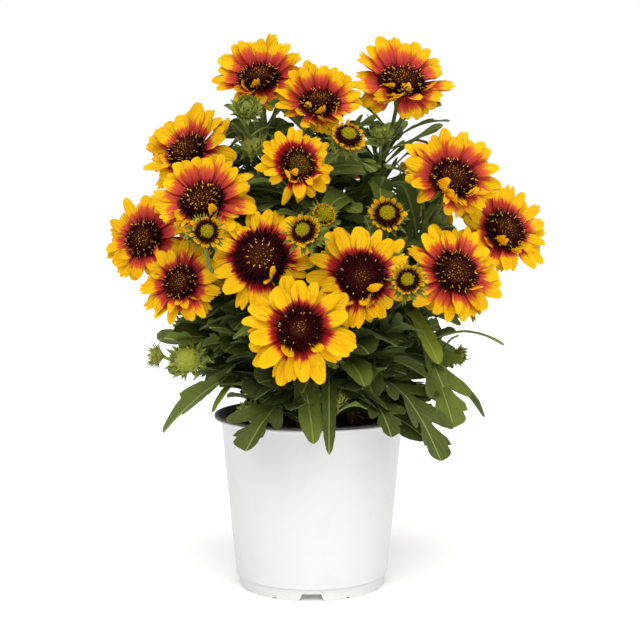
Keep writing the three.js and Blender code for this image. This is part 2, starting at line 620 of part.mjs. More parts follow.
/** The stem of every head: its smooth curve, and the corners that the solid follows. A shoot's
 *  first head has the stem that stands in the soil, and its other stems start inside that one. */
function layStems() {
  const stems = {};
  const firsts = {};
  for (const head of HEADS) {
    const { at, out } = axesOf(head);
    const end = at.clone().addScaledVector(out, -CALYX[head.kind].drop);
    const first = stems[firsts[head.shoot]];
    const [x, y] = SHOOTS[head.shoot];
    const start = first ? first.curve.getPoint(head.from) : new THREE.Vector3(x, y, SOIL.level + 3);
    const along = first ? first.curve.getTangent(head.from) : UP;
    const span = end.distanceTo(start);
    const [neck, drop] = head.neck ?? [span * STEM.neck, span * STEM.neck];
    const curve = new THREE.CubicBezierCurve3(
      start,
      start.clone().addScaledVector(along, span * (first ? 0.3 : 0.42)),
      end.clone().addScaledVector(out, -neck).addScaledVector(UP, -drop),
      end,
    );
    const points = curve.getPoints(Math.max(3, Math.round(curve.getLength() / STEM.step)));
    if (first) {
      const [a, , c] = cornersAt(first, head.from);
      points[0] = a.lerp(c, 0.5);
    } else firsts[head.shoot] = head.name;
    const rings = stalkRings(points, STEM[head.kind]);
    stems[head.name] = { head, curve, rings, joints: [], isFirst: !first };
  }
  return stems;
}

/** Closes a stem's end, a loop of corners, with the head's green back: a cup with pointed sepals,
 *  with a globe over it on a bud. */
function growCalyx(skin, { head, curve, rings }, loop) {
  const draw = seeded(ROOT_SEED + 7 + 100 * Number(head.name));
  const { width, drop, slope, length, globe } = CALYX[head.kind];
  const w = width * head.radius;
  const { at, out } = axesOf(head);
  const side = rings.at(-1)[0].clone().sub(curve.getPoint(1));
  side.addScaledVector(out, -side.dot(out)).normalize();
  const axes = { at, out, side, upper: new THREE.Vector3().crossVectors(out, side) };
  const sepals = { root: w, height: -drop * 0.3, length: length * head.radius, slope };
  const [first, size] = [skin.corners.length, 3 + globe.length];
  addCorners(
    skin,
    rimCorners(axes, {
      keel: [w * 0.72, -drop * 0.5],
      rim: [w, -drop * 0.16 - CLEAR],
      points: spread(draw, SEPALS, sepals),
      rings: globe.map(([share, height]) => [w * share, height * w]),
    }),
  );
  const [apex] = addCorners(skin, [onHead(axes, 0, 0, globe.length ? w * 1.15 : -CLEAR)]);
  const keelAt = (i) => first + (i % SEPALS) * size;
  for (let k = 0; k < 4; k++) {
    const [a, b] = [loop[(4 - k) % 4], loop[(7 - k) % 4]];
    skin.triangles.push([a, b, keelAt(2 * k + 1)], [a, keelAt(2 * k + 1), keelAt(2 * k)]);
    skin.triangles.push([b, keelAt(2 * k + 2), keelAt(2 * k + 1)]);
  }
  skin.triangles.push(...rimAndDome(first, SEPALS, globe.length, apex));
}

/** Grows a stem from a loop of corners at its foot, with all that its joints carry. */
function growStem(skin, stem, foot) {
  const [length, bends] = [stem.curve.getLength(), stem.rings.length - 1];
  const levels = Array.from({ length: bends }, (_, i) => ({ share: (i + 1) / bends }));
  if (stem.isFirst) levels.unshift({ share: 0 });
  for (const joint of stem.joints.filter(({ taken }) => Object.keys(taken).length)) {
    const reach = JOINT.half / length;
    levels.push({ share: joint.share - reach }, { share: joint.share + reach, joint });
  }
  levels.sort((a, b) => a.share - b.share);
  let near = foot;
  for (const { share, joint } of levels) {
    const far = addCorners(skin, share === 1 ? stem.rings.at(-1) : cornersAt(stem, share));
    for (let k = 0; k < 4; k++) {
      const leaf = joint?.taken[k];
      const next = (k + 1) % 4;
      const quad = [far[next], far[k], near[k], near[next]];
      if (!leaf) joinSide(skin, near, far, k);
      else sprout(skin, leastTwisted(quad, leaf[0], (corner) => skin.corners[corner]), leaf);
    }
    near = far;
  }
  growCalyx(skin, stem, near);
}

/** The skin of one stem, closed at its foot, with or without its leaves. */
function makeStem(stem, alone = false) {
  const skin = { corners: [], triangles: [] };
  const foot = stem.rings[0].map((corner) => corner.clone());
  if (stem.isFirst) foot.forEach((corner) => corner.setZ(SOIL.level - STEM.rootDepth));
  const loop = addCorners(skin, foot);
  skin.triangles.push([loop[0], loop[1], loop[2]], [loop[0], loop[2], loop[3]]);
  growStem(skin, alone ? { ...stem, joints: [] } : stem, loop);
  return shell(skin);
}

/** The rings of a leaf whose midrib runs from a root to a tip, arched upwards on the way. A large
 *  one is folded at its midrib and a small one is flat on top; both have a keel. */
function leafRings({ root, tip, half, arch, roll, outline, folded = false }) {
  const middle = root.clone().lerp(tip, 0.5);
  middle.z += 2 * arch;
  const rib = new THREE.QuadraticBezierCurve3(root, middle, tip);
  const flat = tip.clone().sub(root).setZ(0).normalize();
  const level = new THREE.Vector3(-flat.y, flat.x, 0);
  return OUTLINES[outline].map(([share, width, sweep]) => {
    const centre = rib.getPoint(share);
    if (width === 0) return [centre];
    const along = rib.getTangent(share);
    const across = level.clone().applyAxisAngle(along, rad(roll));
    const face = new THREE.Vector3().crossVectors(along, across).normalize();
    const reach = centre.clone().addScaledVector(along, sweep * root.distanceTo(tip));
    const lift = folded ? half * width * BLADE.fold : 0;
    const [left, right] = [1, -1].map((sign) =>
      reach.clone().addScaledVector(across, sign * half * width).addScaledVector(face, lift),
    );
    const keel = centre.clone().addScaledVector(face, -BLADE.thick);
    return folded ? [right, centre, left, keel] : [right, left, keel];
  });
}

/** A leaf closed into a solid of its own at the quad that it grows from. "free" starts it that
 *  share of the way on to its first ring. */
function leafAlone(quad, rings, free = 0) {
  const [first, last, keel] = [rings[0][0], rings[0].at(-2), rings[0].at(-1)];
  const start = leastTwisted(quad, rings[0]).map((corner, k) => {
    return corner.clone().lerp([first, last, keel, keel][k], free);
  });
  const skin = { corners: [], triangles: [] };
  const root = addCorners(skin, start);
  skin.triangles.push([root[0], root[1], root[3]], [root[1], root[2], root[3]]);
  sprout(skin, root, rings);
  return shell(skin);
}

/** The forms of one leaf that follows a rule, in the order in which they are tried. */
function ruledForms(stem, rule, i, azimuth, draws) {
  const share = rule.count > 1 ? i / (rule.count - 1) : 0;
  const joint = Math.floor(i / rule.pair) / Math.max(Math.ceil(rule.count / rule.pair) - 1, 1);
  const up = rule.first + (rule.last - rule.first) * joint;
  const root = stem.curve.getPoint(up);
  const full = (rule.long + (rule.short - rule.long) * share) * (0.85 + 0.3 * draws[1]);
  const climb = rule.climb[0] + (rule.climb[1] - rule.climb[0]) * draws[2];
  const form = (shrink, tilt, turn) => {
    const length = full * shrink;
    const [slope, heading] = [rad(climb + tilt), rad(azimuth + turn)];
    const way = new THREE.Vector3(
      Math.cos(slope) * Math.cos(heading),
      Math.cos(slope) * Math.sin(heading),
      Math.sin(slope),
    );
    return {
      up,
      tip: root.clone().addScaledVector(way, length),
      half: length * rule.half * (0.85 + 0.3 * draws[3]),
      arch: length * 0.17,
      roll: 70 * (draws[4] - 0.5),
      outline: draws[5] < 0.35 ? "toothed" : "lance",
    };
  };
  return SHRINKS.flatMap((shrink) =>
    TILTS.flatMap((tilt) => TURNS.map((turn) => form(shrink, tilt, turn))),
  );
}

/** True where a solid keeps its distance from every one of the others. */
function isClear(made, others, gap = CLEAR) {
  const box = made.boundingBox();
  return others.every(({ solid: other, box: their }) => {
    for (let k = 0; k < 3; k++) {
      if (box.min[k] > their.max[k] + 1 || their.min[k] > box.max[k] + 1) return true;
    }
    return made.minGap(other, 2 * gap) > gap;
  });
}

// ---------------------------------------------------------------- the whole plant
const withBox = (made, of) => ({ solid: made, box: made.boundingBox(), of });
const fixed = {};
fixed.pot = makePot();
fixed.soil = makeSoil();
for (const head of HEADS) {
  if (head.kind === "bloom") {
    fixed[`rays_${head.name}`] = makeRays(head);
    fixed[`disc_${head.name}`] = makeDisc(head);
  }
  if (head.kind === "button") fixed[`button_${head.name}`] = makeButton(head);
}
const stems = layStems();
const settled = [
  ...Object.values(fixed).map((made) => withBox(made)),
  ...Object.values(stems).map((stem) => withBox(makeStem(stem, true), stem.head.name)),
];

/** Grows a leaf on a stem, in the first of its forms that is clear of every other piece, if any. */
function growLeaf(stem, forms) {
  const { name } = stem.head;
  const others = settled.filter(({ of }) => of !== name);
  const own = settled.filter(({ of }) => of === name);
  for (const form of forms) {
    const joint = jointAt(stem, form.up);
    const { side, seat, quad } = sideFacing(stem, joint, form.tip);
    if (joint.taken[side]) continue;
    const rings = leafRings({ ...form, root: seat });
    const whole = leafAlone(quad, rings);
    if (!isClear(whole, others) || !isClear(leafAlone(quad, rings, BLADE.free), own)) continue;
    joint.taken[side] = rings;
    settled.push(withBox(whole, `leaf of ${name}`));
    return;
  }
}

for (const leaf of NAMED_LEAVES) {
  const forms = NUDGES.map(([up, ...shift]) => {
    return { ...leaf, up: leaf.up + up, tip: vec(leaf.tip).add(vec(shift)), folded: true };
  });
  growLeaf(stems[leaf.stem], forms);
}

/** Grows the leaves of one rule on a stem. */
function growRuled(stem, rule, azimuthOf) {
  const draw = seeded(ROOT_SEED + rule.count + 13 + 100 * Number(stem.head.name));
  for (let i = 0; i < rule.count; i++) {
    const draws = Array.from({ length: 6 }, draw);
    growLeaf(stem, ruledForms(stem, rule, i, azimuthOf(i, draws[0]), draws));
  }
}

for (const stem of Object.values(stems).filter(({ isFirst }) => isFirst)) {
  const [x, y] = SHOOTS[stem.head.shoot];
  const outward = THREE.MathUtils.radToDeg(Math.atan2(y, x));
  const { count } = LEAF_RULE.basal;
  const fan = (i, part) => outward + (BASAL_SPREAD * (((i * 2.5) % count) - count / 2 + part)) / count;
  growRuled(stem, LEAF_RULE.basal, fan);
}
for (const stem of Object.values(stems)) {
  const rule = LEAF_RULE[stem.isFirst ? "main" : stem.head.kind];
  let start;
  growRuled(stem, rule, (i, part) => (start ??= part * 360) + i * GOLDEN);
}

const plant = new THREE.Group();
for (const [name, made] of Object.entries(fixed)) {
  plant.add(meshOf(name, made, FINISH[name.split("_")[0]]));
}
for (const shoot of Object.keys(SHOOTS)) {
  const grown = Object.values(stems).filter(({ head }) => head.shoot === shoot);
  plant.add(meshOf(shoot, fuse(grown.map((stem) => makeStem(stem))), FINISH.green));
}

export default plant;
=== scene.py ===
"""A blanket flower plant in full bloom in a round nursery pot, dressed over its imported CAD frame.

Shapes are worked out in millimetres, in the frame of the pot: the origin on its axis where it
stands, +Z up and -Y to the front. They become metres when their mesh is made.
"""

import logging
import math
from dataclasses import dataclass, field, replace
from enum import Enum, IntEnum
from functools import partial
from typing import Iterator, Sequence

import bpy
import numpy as np
from mathutils import Matrix
from mathutils.kdtree import KDTree


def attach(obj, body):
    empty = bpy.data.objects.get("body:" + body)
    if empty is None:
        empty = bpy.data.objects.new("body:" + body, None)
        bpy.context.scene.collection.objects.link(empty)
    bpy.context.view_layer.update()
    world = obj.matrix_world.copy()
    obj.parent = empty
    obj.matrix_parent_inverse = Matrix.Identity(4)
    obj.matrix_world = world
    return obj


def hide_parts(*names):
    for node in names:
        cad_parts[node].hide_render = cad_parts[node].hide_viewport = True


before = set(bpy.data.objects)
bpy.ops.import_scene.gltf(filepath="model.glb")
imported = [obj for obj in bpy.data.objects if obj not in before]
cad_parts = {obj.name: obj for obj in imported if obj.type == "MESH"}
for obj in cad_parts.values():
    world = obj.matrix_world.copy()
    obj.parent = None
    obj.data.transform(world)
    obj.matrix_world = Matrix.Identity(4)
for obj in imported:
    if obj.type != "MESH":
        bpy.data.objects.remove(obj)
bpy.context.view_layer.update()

log = logging.getLogger("plant")

Array = np.ndarray
Pair = tuple[float, float]
Point = tuple[float, float, float]
Colour = tuple[float, float, float, float]
Material = bpy.types.Material
Mesh = bpy.types.Mesh
Piece = bpy.types.Object

MM = 0.001
GOLDEN = math.pi * (3 - math.sqrt(5))
ROUND = 6.28  # what random phases and headings are drawn from
UP = np.array([0.0, 0.0, 1.0])
FOOT = 137.0  # the height at which shoots leave the soil


class Seed(IntEnum):
    """Where each draw of numbers starts."""

    RAY_TONES = 7
    STUBS = 19
    SOIL = 29
    PETALS = 41
    BRACTS = 53
    RULED_LEAVES = 54
    LEAF_FORMS = 313
    MORE_LEAVES = 977


# ------------------------------------------------------------------------------- small tools
def srgb(*parts: int) -> Colour:
    """The linear colour of an sRGB one given from 0 to 255."""
    shares = (part / 255 for part in parts)
    return (*(c / 12.92 if c <= 0.04045 else ((c + 0.055) / 1.055) ** 2.4 for c in shares), 1.0)


def unit(vector: Array) -> Array:
    """A vector, or each row of several, brought to length one."""
    return vector / np.maximum(np.linalg.norm(vector, axis=-1, keepdims=True), 1e-9)


def way_of(azimuth: float, elevation: float) -> Array:
    """The direction at an azimuth and an elevation, both in radians."""
    level = math.cos(elevation)
    return np.array([level * math.cos(azimuth), level * math.sin(azimuth), math.sin(elevation)])


def turn_about(vector: Array, axis: Array, degrees: float) -> Array:
    """A vector turned about a unit axis."""
    angle, along = math.radians(degrees), axis * np.dot(axis, vector)
    return along + (vector - along) * math.cos(angle) + np.cross(axis, vector) * math.sin(angle)


def smooth_through(knots: Sequence[float], values: Sequence[float], at: Array) -> Array:
    """A smooth curve through knots, without overshoot at the ends.

    Args:
        knots: Rising places.
        values: The value at each of them.
        at: Where to read the curve.

    Returns:
        The curve's values.
    """
    x, y = np.asarray(knots, float), np.asarray(values, float)
    slope = np.gradient(y, x)
    i = np.clip(np.searchsorted(x, at, side="right") - 1, 0, len(x) - 2)
    step = x[i + 1] - x[i]
    t = np.clip((at - x[i]) / step, 0, 1)
    rest = 1 - t
    ends = y[i] * (1 + 2 * t) * rest**2 + y[i + 1] * t**2 * (3 - 2 * t)
    return ends + step * (slope[i] * t * rest**2 - slope[i + 1] * t**2 * rest)


class Draw:
    """A repeatable draw of numbers from 0 to 1."""

    MASK, STEP = 0xFFFFFFFF, 0x6D2B79F5

    def __init__(self, seed: int) -> None:
        """Starts the draw from a whole number."""
        self.state = seed & self.MASK

    def __call__(self) -> float:
        """The next number.

        Returns:
            A number from 0 to 1.
        """
        self.state = (self.state + self.STEP) & self.MASK
        t = ((self.state ^ (self.state >> 15)) * (1 | self.state)) & self.MASK
        t = ((t + ((t ^ (t >> 7)) * (61 | t) & self.MASK)) ^ t) & self.MASK
        return (t ^ (t >> 14)) / (self.MASK + 1)

    def near(self, middle: float, spread: float) -> float:
        """A number up to "spread" off the middle."""
        return middle + spread * (2 * self() - 1)


@dataclass(frozen=True)
class Bezier:
    """A smooth curve with three or four control points."""

    points: tuple[Array, ...]

    def at(self, share: float | Array) -> Array:
        """The point, or points, at a share of the way.

        Args:
            share: One share, or several.

        Returns:
            One point, or a row for each share.
        """
        t = np.atleast_1d(np.asarray(share, float))[:, None]
        level = [np.broadcast_to(p, (len(t), 3)) for p in self.points]
        while len(level) > 1:
            level = [a * (1 - t) + b * t for a, b in zip(level, level[1:])]
        return level[0] if np.ndim(share) else level[0][0]

    def way(self, share: float | Array) -> Array:
        """The direction, or directions, at a share of the way."""
        low, high = (np.clip(np.asarray(share, float) + step, 0, 1) for step in (-1e-4, 1e-4))
        return unit(self.at(high) - self.at(low))

    def length(self) -> float:
        """The curve's length."""
        return float(np.linalg.norm(np.diff(self.at(np.linspace(0, 1, 80)), axis=0), axis=1).sum())


@dataclass(frozen=True)
class Axes:
    """A flower head's own axes: where it faces, its level side and its upper side."""

    at: Array
    out: Array
    side: Array
    upper: Array

    def radial(self, angle: float | Array) -> Array:
        """The direction away from the axis at an angle round it."""
        angle = np.asarray(angle)[..., None]
        return self.side * np.cos(angle) + self.upper * np.sin(angle)

    def around(self, points: Array) -> tuple[Array, Array]:
        """How far points are from the axis, and how far before the head."""
        height = (points - self.at) @ self.out
        return np.linalg.norm(points - self.at - height[:, None] * self.out, axis=1), height

    def leaning(self, degrees: float) -> "Axes":
        """The axes with their face turned up by an angle."""
        out, upper = (turn_about(way, self.side, -degrees) for way in (self.out, self.upper))
        return Axes(self.at, out, self.side, upper)

    def matrix(self) -> Matrix:
        """The axes as a transform in metres, its Z where the head faces."""
        columns = [*zip(self.side, self.upper, self.out, self.at * MM)]
        return Matrix([*[tuple(float(x) for x in row) for row in columns], (0, 0, 0, 1)])


POT_AXES = Axes(np.zeros(3), UP, np.array([1.0, 0, 0]), np.array([0, 1.0, 0]))


def place(name: str, data: bpy.types.ID) -> Piece:
    """Puts a mesh, light or camera in the scene as an object at the origin.

    Args:
        name: The object's name.
        data: What it shows.

    Returns:
        The object.
    """
    piece = bpy.data.objects.new(name, data)
    bpy.context.scene.collection.objects.link(piece)
    return piece


def shade(mesh: Mesh, sharp: float) -> None:
    """Shades a mesh smoothly, but for its edges from an angle in degrees."""
    mesh.shade_smooth()
    mesh.set_sharp_from_angle(angle=math.radians(sharp))


def baked(piece: Piece) -> Mesh:
    """The mesh that an object's modifiers make. The object is removed.

    Args:
        piece: The object.

    Returns:
        The new mesh.
    """
    graph = bpy.context.evaluated_depsgraph_get()
    mesh = bpy.data.meshes.new_from_object(piece.evaluated_get(graph), depsgraph=graph)
    bpy.data.objects.remove(piece)
    return mesh


def lathe(profile: Sequence[Pair], sides: int, axes: Axes) -> tuple[Array, ...]:
    """A closed form turned about a head's axis.

    Args:
        profile: [radius, height] from the bottom to the top; both ends are closed to a point.
        sides: How many sides it has.
        axes: The axes it is turned about.

    Returns:
        Its points, quads and tris.
    """
    radii, heights = np.array(profile, float).T
    angles = np.arange(sides) * 2 * math.pi / sides
    rings = axes.radial(angles)[None] * radii[:, None, None] + axes.out * heights[:, None, None]
    ends = axes.out * heights[[0, -1]][:, None]
    points = np.concatenate([rings.reshape(-1, 3), ends]) + axes.at
    near = np.arange(sides)
    far = np.roll(near, -1)
    quads = [np.stack([near, far, far + sides, near + sides], 1) + sides * k for k in range(len(radii) - 1)]
    last = sides * (len(radii) - 1)
    bottom = np.stack([far, near, np.full(sides, len(points) - 2)], 1)
    top = np.stack([near + last, far + last, np.full(sides, len(points) - 1)], 1)
    return points, np.concatenate(quads), np.concatenate([bottom, top])


class Skin:
    """Closed forms that are gathered into one mesh."""

    def __init__(self, *attributes: str) -> None:
        """Starts empty, with the names of the numbers that each point carries.

        Args:
            attributes: The names.
        """
        self.points: list[Array] = []
        self.faces: dict[int, list[Array]] = {3: [], 4: []}
        self.finish: dict[int, list[Array]] = {3: [], 4: []}
        self.values: dict[str, list[Array]] = {name: [] for name in attributes}
        self.count = 0

    def add(
        self,
        points: Array,
        quads: Array,
        tris: Array | None = None,
        finish: int | Array = 0,
        **values: float | Array,
    ) -> None:
        """Adds one closed form and turns it outwards.

        Args:
            points: Its points.
            quads: Its four-sided faces.
            tris: Its three-sided faces.
            finish: The number of its material, or of each quad's.
            values: What each attribute is on it, as one number or one for each point.
        """
        tris = np.empty((0, 3), int) if tris is None else tris
        halves = np.concatenate([quads[:, [0, 1, 2]], quads[:, [0, 2, 3]], tris])
        a, b, c = (points[halves[:, k]] - points[0] for k in range(3))
        if np.einsum("ij,ij->i", a, np.cross(b, c)).sum() < 0:
            quads, tris = quads[:, ::-1], tris[:, ::-1]
        for size, faces in ((4, quads), (3, tris)):
            self.faces[size].append(faces + self.count)
            one = finish if size == 4 or np.ndim(finish) == 0 else int(np.max(finish))
            self.finish[size].append(np.broadcast_to(one, len(faces)))
        self.points.append(points)
        for name, kept in self.values.items():
            kept.append(np.broadcast_to(np.asarray(values.get(name, 0.0), float), len(points)))
        self.count += len(points)

    def add_blade(
        self, grid: Array, thick: float, finish: int | None = None, **values: float | Array
    ) -> None:
        """Adds a thin closed blade under a grid of points, with its edges drawn out thin.

        Args:
            grid: Its upper face, [row, column, 3].
            thick: How far its lower face lies below, in the middle.
            finish: The number of its material, or None for 0 on the upper face and 1 on the lower.
            values: What each attribute is on it, as one number or one for each point of the grid.
        """
        rows, columns = grid.shape[:2]
        along, across = np.gradient(grid, axis=0), np.gradient(grid, axis=1)
        lower = (grid + unit(np.cross(across, along)) * thick)[1:-1, 1:-1]
        number = np.arange(rows * columns).reshape(rows, columns)
        below = number.copy()
        inner = np.arange((rows - 2) * (columns - 2)).reshape(rows - 2, columns - 2)
        below[1:-1, 1:-1] = inner + rows * columns
        over, under = (
            np.stack([n[:-1, :-1], n[:-1, 1:], n[1:, 1:], n[1:, :-1]], -1).reshape(-1, 4)
            for n in (number, below)
        )
        for name, value in values.items():
            if np.ndim(value):
                values[name] = np.concatenate([value.ravel(), value[1:-1, 1:-1].ravel()])
        points = np.concatenate([grid.reshape(-1, 3), lower.reshape(-1, 3)])
        each = np.repeat([0, 1], len(over)) if finish is None else finish
        self.add(points, np.concatenate([over, under[:, ::-1]]), finish=each, **values)

    def build(self, name: str, materials: Sequence[Material] = (), sharp: float = 60) -> Piece:
        """Makes the gathered forms into one object.

        Args:
            name: The piece's name.
            materials: Its materials, by number.
            sharp: The angle from which an edge is drawn sharp, in degrees.

        Returns:
            The new object, at the origin.
        """
        mesh = bpy.data.meshes.new(name)
        quads, tris = (np.concatenate(self.faces[size]) for size in (4, 3))
        sizes = np.concatenate([np.full(len(quads), 4), np.full(len(tris), 3)])
        corners = np.concatenate([quads.ravel(), tris.ravel()])
        mesh.vertices.add(self.count)
        mesh.vertices.foreach_set("co", (np.concatenate(self.points) * MM).ravel())
        mesh.loops.add(len(corners))
        mesh.loops.foreach_set("vertex_index", corners)
        mesh.polygons.add(len(sizes))
        mesh.polygons.foreach_set("loop_start", np.concatenate([[0], np.cumsum(sizes)[:-1]]))
        picked = np.concatenate([*self.finish[4], *self.finish[3]])
        mesh.polygons.foreach_set("material_index", picked.astype(np.int32))
        mesh.update(calc_edges=True)
        for attribute, kept in self.values.items():
            layer = mesh.attributes.new(attribute, "FLOAT", "POINT")
            layer.data.foreach_set("value", np.concatenate(kept).astype(np.float32))
        shade(mesh, sharp)
        for material in materials:
            mesh.materials.append(material)
        return place(name, mesh)


# ------------------------------------------------------------------------------- node trees
class Wire:
    """A node's output, which sums can be written with."""

    def __init__(self, nodes: "Nodes", socket: bpy.types.NodeSocket) -> None:
        """Keeps the output and what builds its tree."""
        self.nodes, self.socket = nodes, socket

    def __add__(self, other: "Value") -> "Wire":
        """The sum."""
        return self.nodes.math("ADD", self, other)

    def __sub__(self, other: "Value") -> "Wire":
        """The difference."""
        return self.nodes.math("SUBTRACT", self, other)

    def __mul__(self, other: "Value") -> "Wire":
        """The product."""
        return self.nodes.math("MULTIPLY", self, other)

    def __truediv__(self, other: "Value") -> "Wire":
        """The quotient."""
        return self.nodes.math("DIVIDE", self, other)

    def __pow__(self, other: "Value") -> "Wire":
        """The power."""
        return self.nodes.math("POWER", self, other)

    def __abs__(self) -> "Wire":
        """The distance from zero."""
        return self.nodes.math("ABSOLUTE", self)

    __radd__, __rmul__ = __add__, __mul__


Value = Wire | float | int | tuple | Material
Inputs = dict[str | int, Value]


class Nodes:
    """What shader trees and geometry trees are both built with."""

    def __init__(self, tree: bpy.types.NodeTree) -> None:
        """Wraps a tree."""
        self.tree = tree

    def put(self, socket: bpy.types.NodeSocket, value: Value) -> None:
        """Feeds a socket with a wire or a plain value.

        Args:
            socket: The socket.
            value: What it gets.
        """
        if isinstance(value, Wire):
            self.tree.links.new(value.socket, socket)
        else:
            socket.default_value = value

    def add(self, kind: str, inputs: Inputs | None = None, **settings: object) -> bpy.types.Node:
        """Adds a node.

        Args:
            kind: Its Blender type.
            inputs: What its inputs get, by name or number.
            settings: Its own properties.

        Returns:
            The node.
        """
        node = self.tree.nodes.new(kind)
        for key, value in settings.items():
            setattr(node, key, value)
        for key, value in (inputs or {}).items():
            self.put(node.inputs[key], value)
        return node

    def get(
        self, kind: str, inputs: Inputs | None = None, output: str | int = 0, **settings: object
    ) -> Wire:
        """Adds a node, as "add" does, and gives one of its outputs."""
        return Wire(self, self.add(kind, inputs, **settings).outputs[output])

    def math(self, operation: str, a: Value, b: Value = 0.0) -> Wire:
        """The result of a sum on two numbers."""
        return self.get("ShaderNodeMath", {0: a, 1: b}, operation=operation)

    def ease(self, value: Value, low: float, high: float) -> Wire:
        """0 up to "low", 1 from "high", and smooth between them."""
        inputs = {"Value": value, "From Min": low, "From Max": high}
        return self.get("ShaderNodeMapRange", inputs, interpolation_type="SMOOTHSTEP")

    def vector(self, x: Value, y: Value, z: Value) -> Wire:
        """Three numbers as a vector."""
        return self.get("ShaderNodeCombineXYZ", {0: x, 1: y, 2: z})


class Paint(Nodes):
    """A material under construction, around one Principled surface."""

    def __init__(self, name: str, **plain: Value) -> None:
        """Starts a material with plain values for the surface's own sockets.

        Args:
            name: The material's name.
            plain: The values, by the socket's name in small letters with "_" for a space.
        """
        self.material = bpy.data.materials.new(name)
        self.material.use_nodes = True
        super().__init__(self.material.node_tree)
        self.surface = self.tree.nodes["Principled BSDF"]
        for key, value in plain.items():
            name = key.replace("_", " ").title().replace("Ior", "IOR")
            self.surface.inputs[name].default_value = value

    def read(self, *names: str) -> list[Wire]:
        """The numbers that each point of the mesh carries under names."""
        return [self.get("ShaderNodeAttribute", output="Fac", attribute_name=name) for name in names]

    def noise(self, scale: float, detail: float, where: Wire | None = None) -> Wire:
        """Cloudy noise from 0 to 1, over the object or over given coordinates."""
        where = where or self.get("ShaderNodeTexCoord", output="Object")
        return self.get("ShaderNodeTexNoise", {"Vector": where, "Scale": scale, "Detail": detail})

    def ramp(self, value: Value, *stops: tuple[float, Colour]) -> Wire:
        """A colour that runs through stops as a number rises.

        Args:
            value: The number.
            stops: [the number's value, the colour there], rising.

        Returns:
            The colour.
        """
        node = self.add("ShaderNodeValToRGB", {0: value})
        elements = node.color_ramp.elements
        while len(elements) < len(stops):
            elements.new(0.5)
        for element, (position, colour) in zip(elements, stops):
            element.position, element.color = position, colour
        return Wire(self, node.outputs[0])

    def mix(self, share: Value, a: Value, b: Value, blend: str = "MIX") -> Wire:
        """Two colours mixed."""
        return self.get("ShaderNodeMix", {0: share, 6: a, 7: b}, 2, data_type="RGBA", blend_type=blend)

    def lit(self, colour: Value, light: Value) -> Wire:
        """A colour made lighter or darker by a number around 1."""
        return self.mix(1.0, colour, self.vector(light, light, light), "MULTIPLY")

    def bump(self, height: Value, strength: float, distance: float) -> None:
        """Raises the surface by a height from 0 to 1, of so many millimetres."""
        inputs = {"Height": height, "Strength": strength, "Distance": distance * MM}
        self.put(self.surface.inputs["Normal"], self.get("ShaderNodeBump", inputs))

    def done(self, colour: Value, roughness: Value | None = None) -> Material:
        """Sets the surface's colour and roughness and gives the material.

        Args:
            colour: The base colour.
            roughness: The roughness, where it isn't plain.

        Returns:
            The material.
        """
        self.put(self.surface.inputs["Base Color"], colour)
        if roughness is not None:
            self.put(self.surface.inputs["Roughness"], roughness)
        return self.material


